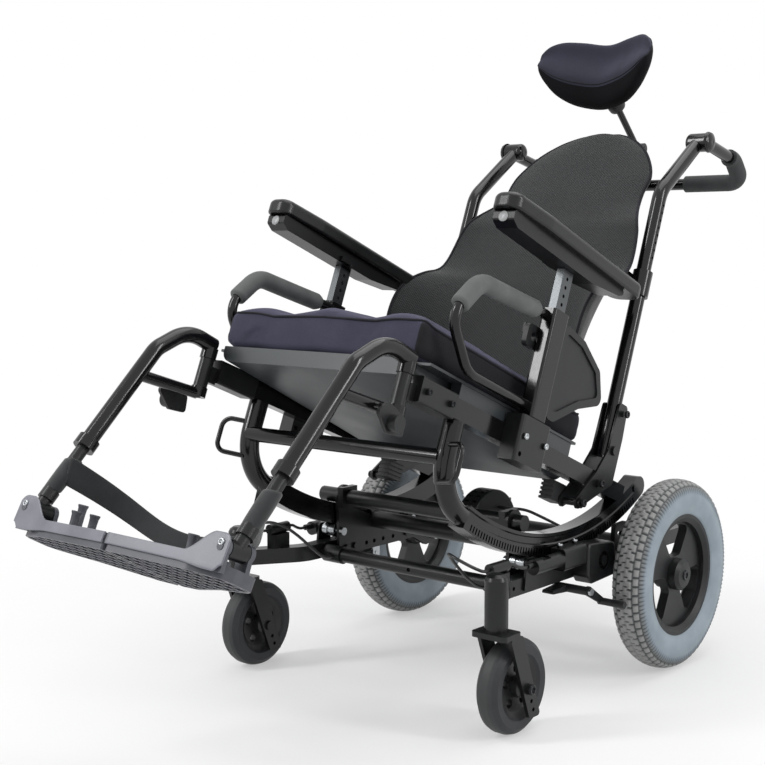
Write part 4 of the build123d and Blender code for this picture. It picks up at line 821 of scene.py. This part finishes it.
def makeTyre(side):
    name = sideWord(side)
    rows = smoothRows(tyre["profile"], 86)
    x, r = rows[:, :1], rows[:, 1:]
    count = tyre["repeats"] * tyre["samples"]
    a = np.linspace(0, 2 * np.pi, count, endpoint=False)[None]
    height = treadHeight(a / (2 * np.pi) * tyre["repeats"], x, r)
    ramp = step(r, 137, 147)
    out = unit(np.stack([-np.gradient(r[:, 0]), np.gradient(x[:, 0])], -1))
    x = x + tyre["depth"] * height * ramp * out[:, :1]
    r = r + tyre["depth"] * height * ramp * out[:, 1:]
    px = side * tyre["axle"][0] + x
    py = tyre["axle"][1] + r * np.sin(a)
    pz = tyre["axle"][2] + r * np.cos(a)
    points = fromChassis(np.stack([px, py, pz], -1)).reshape(-1, 3)
    centre = tuple(fromChassis([side * tyre["axle"][0], tyre["axle"][1], tyre["axle"][2]]))
    rubber = greyTyreRubber("greyTyreRubber_" + name, centre)
    # the last row joins the first, over the rim
    faces = (np.array(gridFaces(len(rows) + 1, count, True)) % len(points)).tolist()
    piece = meshPiece("rearTyre_" + name, points, faces, "rear_wheel_" + name, rubber)
    groove = piece.data.attributes.new("groove", "FLOAT", "POINT")
    groove.data.foreach_set("value", (0.9 * ramp * (1 - height)).astype(np.float32).ravel())
    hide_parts("rear_tyre_" + name)


for side in (-1, 1):
    makeTyre(side)
print("tyres made")



def turnedGroup(name, body, profile, spots, outward, material, place, count=24, hexFrom=None):
    # the same turned profile on every spot, in millimetres of the frame that place converts from
    rings = turnedAbout(profile, spots, np.broadcast_to(outward, (len(spots), 3)), count, hexFrom)
    copies, rows, columns = rings.shape[:3]
    faces = []
    for k in range(copies):
        faces += gridFaces(rows, columns, True, True, k * rows * columns)
    meshPiece(name, place(rings.reshape(-1, 3)), faces, body, material)


# ---- socket screws: head with a hexagon socket, seated on the faces that carry them
screwHead = [(-0.0005, 1.0), (0.42, 1.0), (0.52, 0.93), (0.55, 0.86), (0.55, 0.55), (0.52, 0.5), (0.12, 0.5),
             (0.12, 0.0)]


def screws(name, body, spots, outward, radius, material, place):
    turnedGroup(name, body, np.array(screwHead) * radius, spots, outward, material, place, hexFrom=5)


# name, body, the face's distance from the middle, places (y, z) on it, radius, finish, frame
sideScrews = (
    ("socketScrews_", "seat", 248.8, ((-46, -348), (12, -348)), 5.0, zincSteel, fromSeat),
    ("clampScrews_", "seat", 222.3, ((-262, -348), (-205, -348)), 5.0, blackOxide, fromSeat),
    ("axlePlateScrews_", "base", 243.8, ((-82, 194), (-12, 194)), 7.0, blackOxide, fromChassis))

for side in (1, -1):
    word = sideWord(side)
    out = (side, 0, 0)
    hubFace = 1000 * abs(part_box("rear_wheel_" + word)[1 if side > 0 else 0][0]) - 3.6
    screws("hubScrew_" + word, "rear_wheel_" + word, [(side * hubFace, 0, 161.8)],
           out, 9.0, blackOxide, fromChassis)
    screws("plateScrews_" + word, "seat", [(side * 226.0, 266, -222), (side * 226.5, 190, -396),
                                           (side * 226.5, 233, -352)], out, 6.5, blackOxide, fromSeat)
    for name, body, face, spots, radius, finish, place in sideScrews:
        screws(name + word, body, [(side * face, y, z) for y, z in spots], out, radius, finish, place)
    screws("lockScrews_" + word, "base", [(side * 227.5, -259, 245), (side * 227.5, -215, 245)],
           (0, 0, 1), 4.5, zincSteel, fromChassis)
    screws("casterScrew_" + word, "caster_fork_" + word, [(side * 301.8, -449, 72)],
           out, 8.0, blackOxide, fromChassis)
print("screws made")

# ---- foam over the transfer loops
loopGrip = {"x": 226.0, "radius": 14.6, "rounding": 3.0,
            "path": ((-249, -214), (-240, -201.2), (-232, -190), (-225.7, -181.1), (-220, -174.9),
                     (-213, -169.6), (-205, -166.2), (-196.6, -164.4), (-175, -162.7), (-145, -160.3),
                     (-110, -157.5), (-62, -153.3))}


def foamGrip(side):
    # a sleeve with rounded ends, carried along the front and top of the loop
    rows = smoothRows(loopGrip["path"], 70)
    path = np.column_stack([np.full(len(rows), side * loopGrip["x"]), rows])
    far = np.linalg.norm(np.diff(path, axis=0, prepend=path[:1]), axis=1).cumsum()
    close = np.minimum(far, far[-1] - far)
    cut = loopGrip["rounding"]
    radius = loopGrip["radius"] - cut * (1 - np.sqrt(np.clip(close / cut, 0, 1)))
    profile = circle(1.0, 28)[None] * radius[:, None, None]
    word = sideWord(side)
    rings = alongPath(fromSeat(path), profile * 0.001, (1.0, 0, 0))
    ringedPiece("loopGrip_" + word, rings, "arm_" + word, loopFoam)


# ---- plugs in the front end of the arm trays
plugProfile = [(0.0, 0.0), (0.0, 8.2), (1.2, 8.2), (2.0, 7.4), (2.2, 0.0)]


def trayPlug(side):
    word = sideWord(side)
    rings = turnedAbout(plugProfile, [(side * 232.0, -204.6, -59.5)], [(0, -1, 0)], 32)[0]
    # the plugs' pale colour is a painted reflection
    ringedPiece("trayPlug_" + word, fromSeat(rings), "arm_top_" + word, plugNylon,
                turnOver=True, capped=False)


# ---- domes on the knobs that join canes and handle: quarter-round caps on both faces
knob = {"y": 353.0, "z": 323.0, "outer": 222.0, "inner": 189.0, "outerR": 19.0, "innerR": 17.0, "high": 9.0,
        "flat": 4.0}


def knobDomes(side):
    word = sideWord(side)
    t = np.linspace(0, np.pi / 2, 12)
    for part, way, body in (("outer", side, "push_handle"), ("inner", -side, "backrest")):
        radius, flat = knob[part + "R"], knob["flat"]
        profile = np.stack([knob["high"] * np.sin(t), flat + (radius - flat) * np.cos(t)], -1)
        profile = np.vstack([[(-1.0, radius)], profile, [(8.2, 0.0)]])
        rings = turnedAbout(profile, [(side * knob[part], knob["y"], knob["z"])], [(way, 0, 0)], 40)[0]
        ringedPiece(part + "Dome_" + word, fromSeat(rings), body, glossPowderCoat,
                    turnOver=True, capped=False)


# ---- front fascia of the foot trays, rising to an ear in front of the hinge
foot = {"pivotY": -526.0, "top": -657.0, "pitch": math.radians(-7.0), "deep": 9.5, "rim": 5.6,
        "hingeX": 197.0, "hingeZ": -636.0, "earR": 13.0, "count": 90, "thick": 2.6,
        "line": ((3.2, -561.2), (60, -558.2), (110, -555.4), (150, -553.4), (175, -552.2), (195, -551.6),
                 (209, -551.4)),
        "posts": ((118, -524, -626), (118, -492, -624), (166, -478, -612))}


def pitched(points):
    p = np.asarray(points, float)
    c, s = math.cos(foot["pitch"]), math.sin(foot["pitch"])
    y, z = p[..., 1] - foot["pivotY"], p[..., 2] - foot["top"]
    return np.stack([p[..., 0], foot["pivotY"] + y * c - z * s, foot["top"] + y * s + z * c], -1)


def fascia(side):
    # rounded strips across x; the top edge climbs by a smooth step to the ear, then falls as a circle
    rows = smoothRows(foot["line"], foot["count"])
    x, y = rows[:, :1], rows[:, 1:]
    earTop = foot["hingeZ"] + foot["earR"] - foot["top"] + 2.0
    past = np.clip(x - foot["hingeX"], 0, foot["earR"] - 0.5)
    fall = foot["earR"] - np.sqrt(foot["earR"] ** 2 - past ** 2)
    top = foot["top"] + foot["rim"] + (earTop - foot["rim"]) * step(x, 138, 184) - fall
    low = foot["top"] - foot["deep"] - 4.0 * step(x, 130, 185) + 9.0 * step(x, 196, 209)
    a = np.linspace(0, 2 * np.pi, 32, endpoint=False)[None]
    up = np.sign(np.sin(a)) * np.abs(np.sin(a)) ** 0.25
    out = np.sign(np.cos(a)) * np.abs(np.cos(a)) ** 0.5
    z = (top + low) / 2 + (top - low) / 2 * up
    rings = np.stack([side * (x + 0 * a), y - foot["thick"] / 2 * (1 + out), z], -1)
    word = sideWord(side)
    # the fascia's paler tone is painted light
    ringedPiece("footFascia_" + word, fromSeat(pitched(rings)), "footplate_" + word, fasciaNylon,
                turnOver=side > 0)
    spots = pitched([(side * foot["hingeX"], -554.2, foot["hingeZ"] + 2.5)])
    screws("earScrew_" + word, "footplate_" + word, spots, (0, -1, 0), 4.6, zincSteel, fromSeat)


def heelCups(side):
    # a flared rim on each heel post
    word = sideWord(side)
    profile = [(-12, 6.05), (-5, 6.4), (-1.4, 7.6), (-0.3, 7.7), (0.3, 7.2), (0.3, 0.0)]
    spots = [(side * x, y, z) for x, y, z in foot["posts"]]
    turnedGroup("heelCups_" + word, "footplate_" + word, profile, spots, (0, 0, 1), trayNylon, fromSeat, 28)


for side in (-1, 1):
    foamGrip(side)
    trayPlug(side)
    knobDomes(side)
    fascia(side)
    heelCups(side)
print("grips, plugs, domes and foot trays made")

# ---- floor, light and background
# near and far: where the floor's own light begins and ends its rise from lift to full white
studio = {"floorTone": "#f4f4f4", "ambient": 0.55, "near": 0.6, "far": 1.3, "lift": 0.4, "half": 30.0}


def seenDirectly(tree):
    # 1 for the camera and for what mirrors and glass show of the room, 0 for its light
    ray = addNode(tree, "ShaderNodeLightPath")
    straight = combined(tree, "MAXIMUM", ray.outputs["Is Camera Ray"], ray.outputs["Is Glossy Ray"])
    return combined(tree, "MAXIMUM", straight, ray.outputs["Is Transmission Ray"])


def studioFloor():
    # a wide sheet: lit paper under the chair, plain white to the camera further out
    material = bpy.data.materials.new("studioPaper")
    material.use_nodes = True
    tree = material.node_tree
    tree.nodes.clear()
    paper = addNode(tree, "ShaderNodeBsdfDiffuse", {"Color": linear(studio["floorTone"])})
    white = addNode(tree, "ShaderNodeEmission", {"Color": (1, 1, 1, 1), "Strength": 1.0})
    place = addNode(tree, "ShaderNodeTexCoord")
    reach = vectorMath(tree, "LENGTH", place.outputs["Object"]).outputs["Value"]
    faded = ranged(tree, reach, studio["near"], studio["far"], studio["lift"], 1.0)
    part = combined(tree, "MULTIPLY", seenDirectly(tree), faded)
    mixed = addNode(tree, "ShaderNodeMixShader", links={0: part, 1: paper.outputs[0], 2: white.outputs[0]})
    addNode(tree, "ShaderNodeOutputMaterial", links={"Surface": mixed.outputs[0]})
    corners = studio["half"] * np.array([(-1, -1, 0), (1, -1, 0), (1, 1, 0), (-1, 1, 0)])
    floor = meshPiece("floor", corners, [(0, 1, 2, 3)], None, material, smooth=False)


def studioWorld():
    world = bpy.data.worlds.new("studio")
    bpy.context.scene.world = world
    world.use_nodes = True
    tree = world.node_tree
    tree.nodes.clear()
    strength = ranged(tree, seenDirectly(tree), 0.0, 1.0, studio["ambient"], 1.0)
    light = addNode(tree, "ShaderNodeBackground", {"Color": (1, 1, 1, 1)}, {"Strength": strength})
    addNode(tree, "ShaderNodeOutputWorld", links={"Surface": light.outputs[0]})


def softbox(name, place, target, size, power):
    lamp = bpy.data.lights.new(name, "AREA")
    lamp.shape = "RECTANGLE"
    lamp.size, lamp.size_y = size
    lamp.energy = power
    thing = bpy.data.objects.new(name, lamp)
    thing.location = place
    thing.rotation_euler = (Vector(target) - Vector(place)).to_track_quat("-Z", "Y").to_euler()
    bpy.context.scene.collection.objects.link(thing)


studioFloor()
studioWorld()
softbox("keyLamp", (-1.6, -2.4, 2.6), (0, 0, 0.5), (0.5, 2.2), 55)
softbox("sideLamp", (2.8, 0.6, 1.9), (0, 0, 0.5), (0.45, 2.0), 32)
softbox("topLamp", (0.2, 0.6, 3.2), (0, 0, 0.4), (2.4, 2.4), 35)
print("studio made")
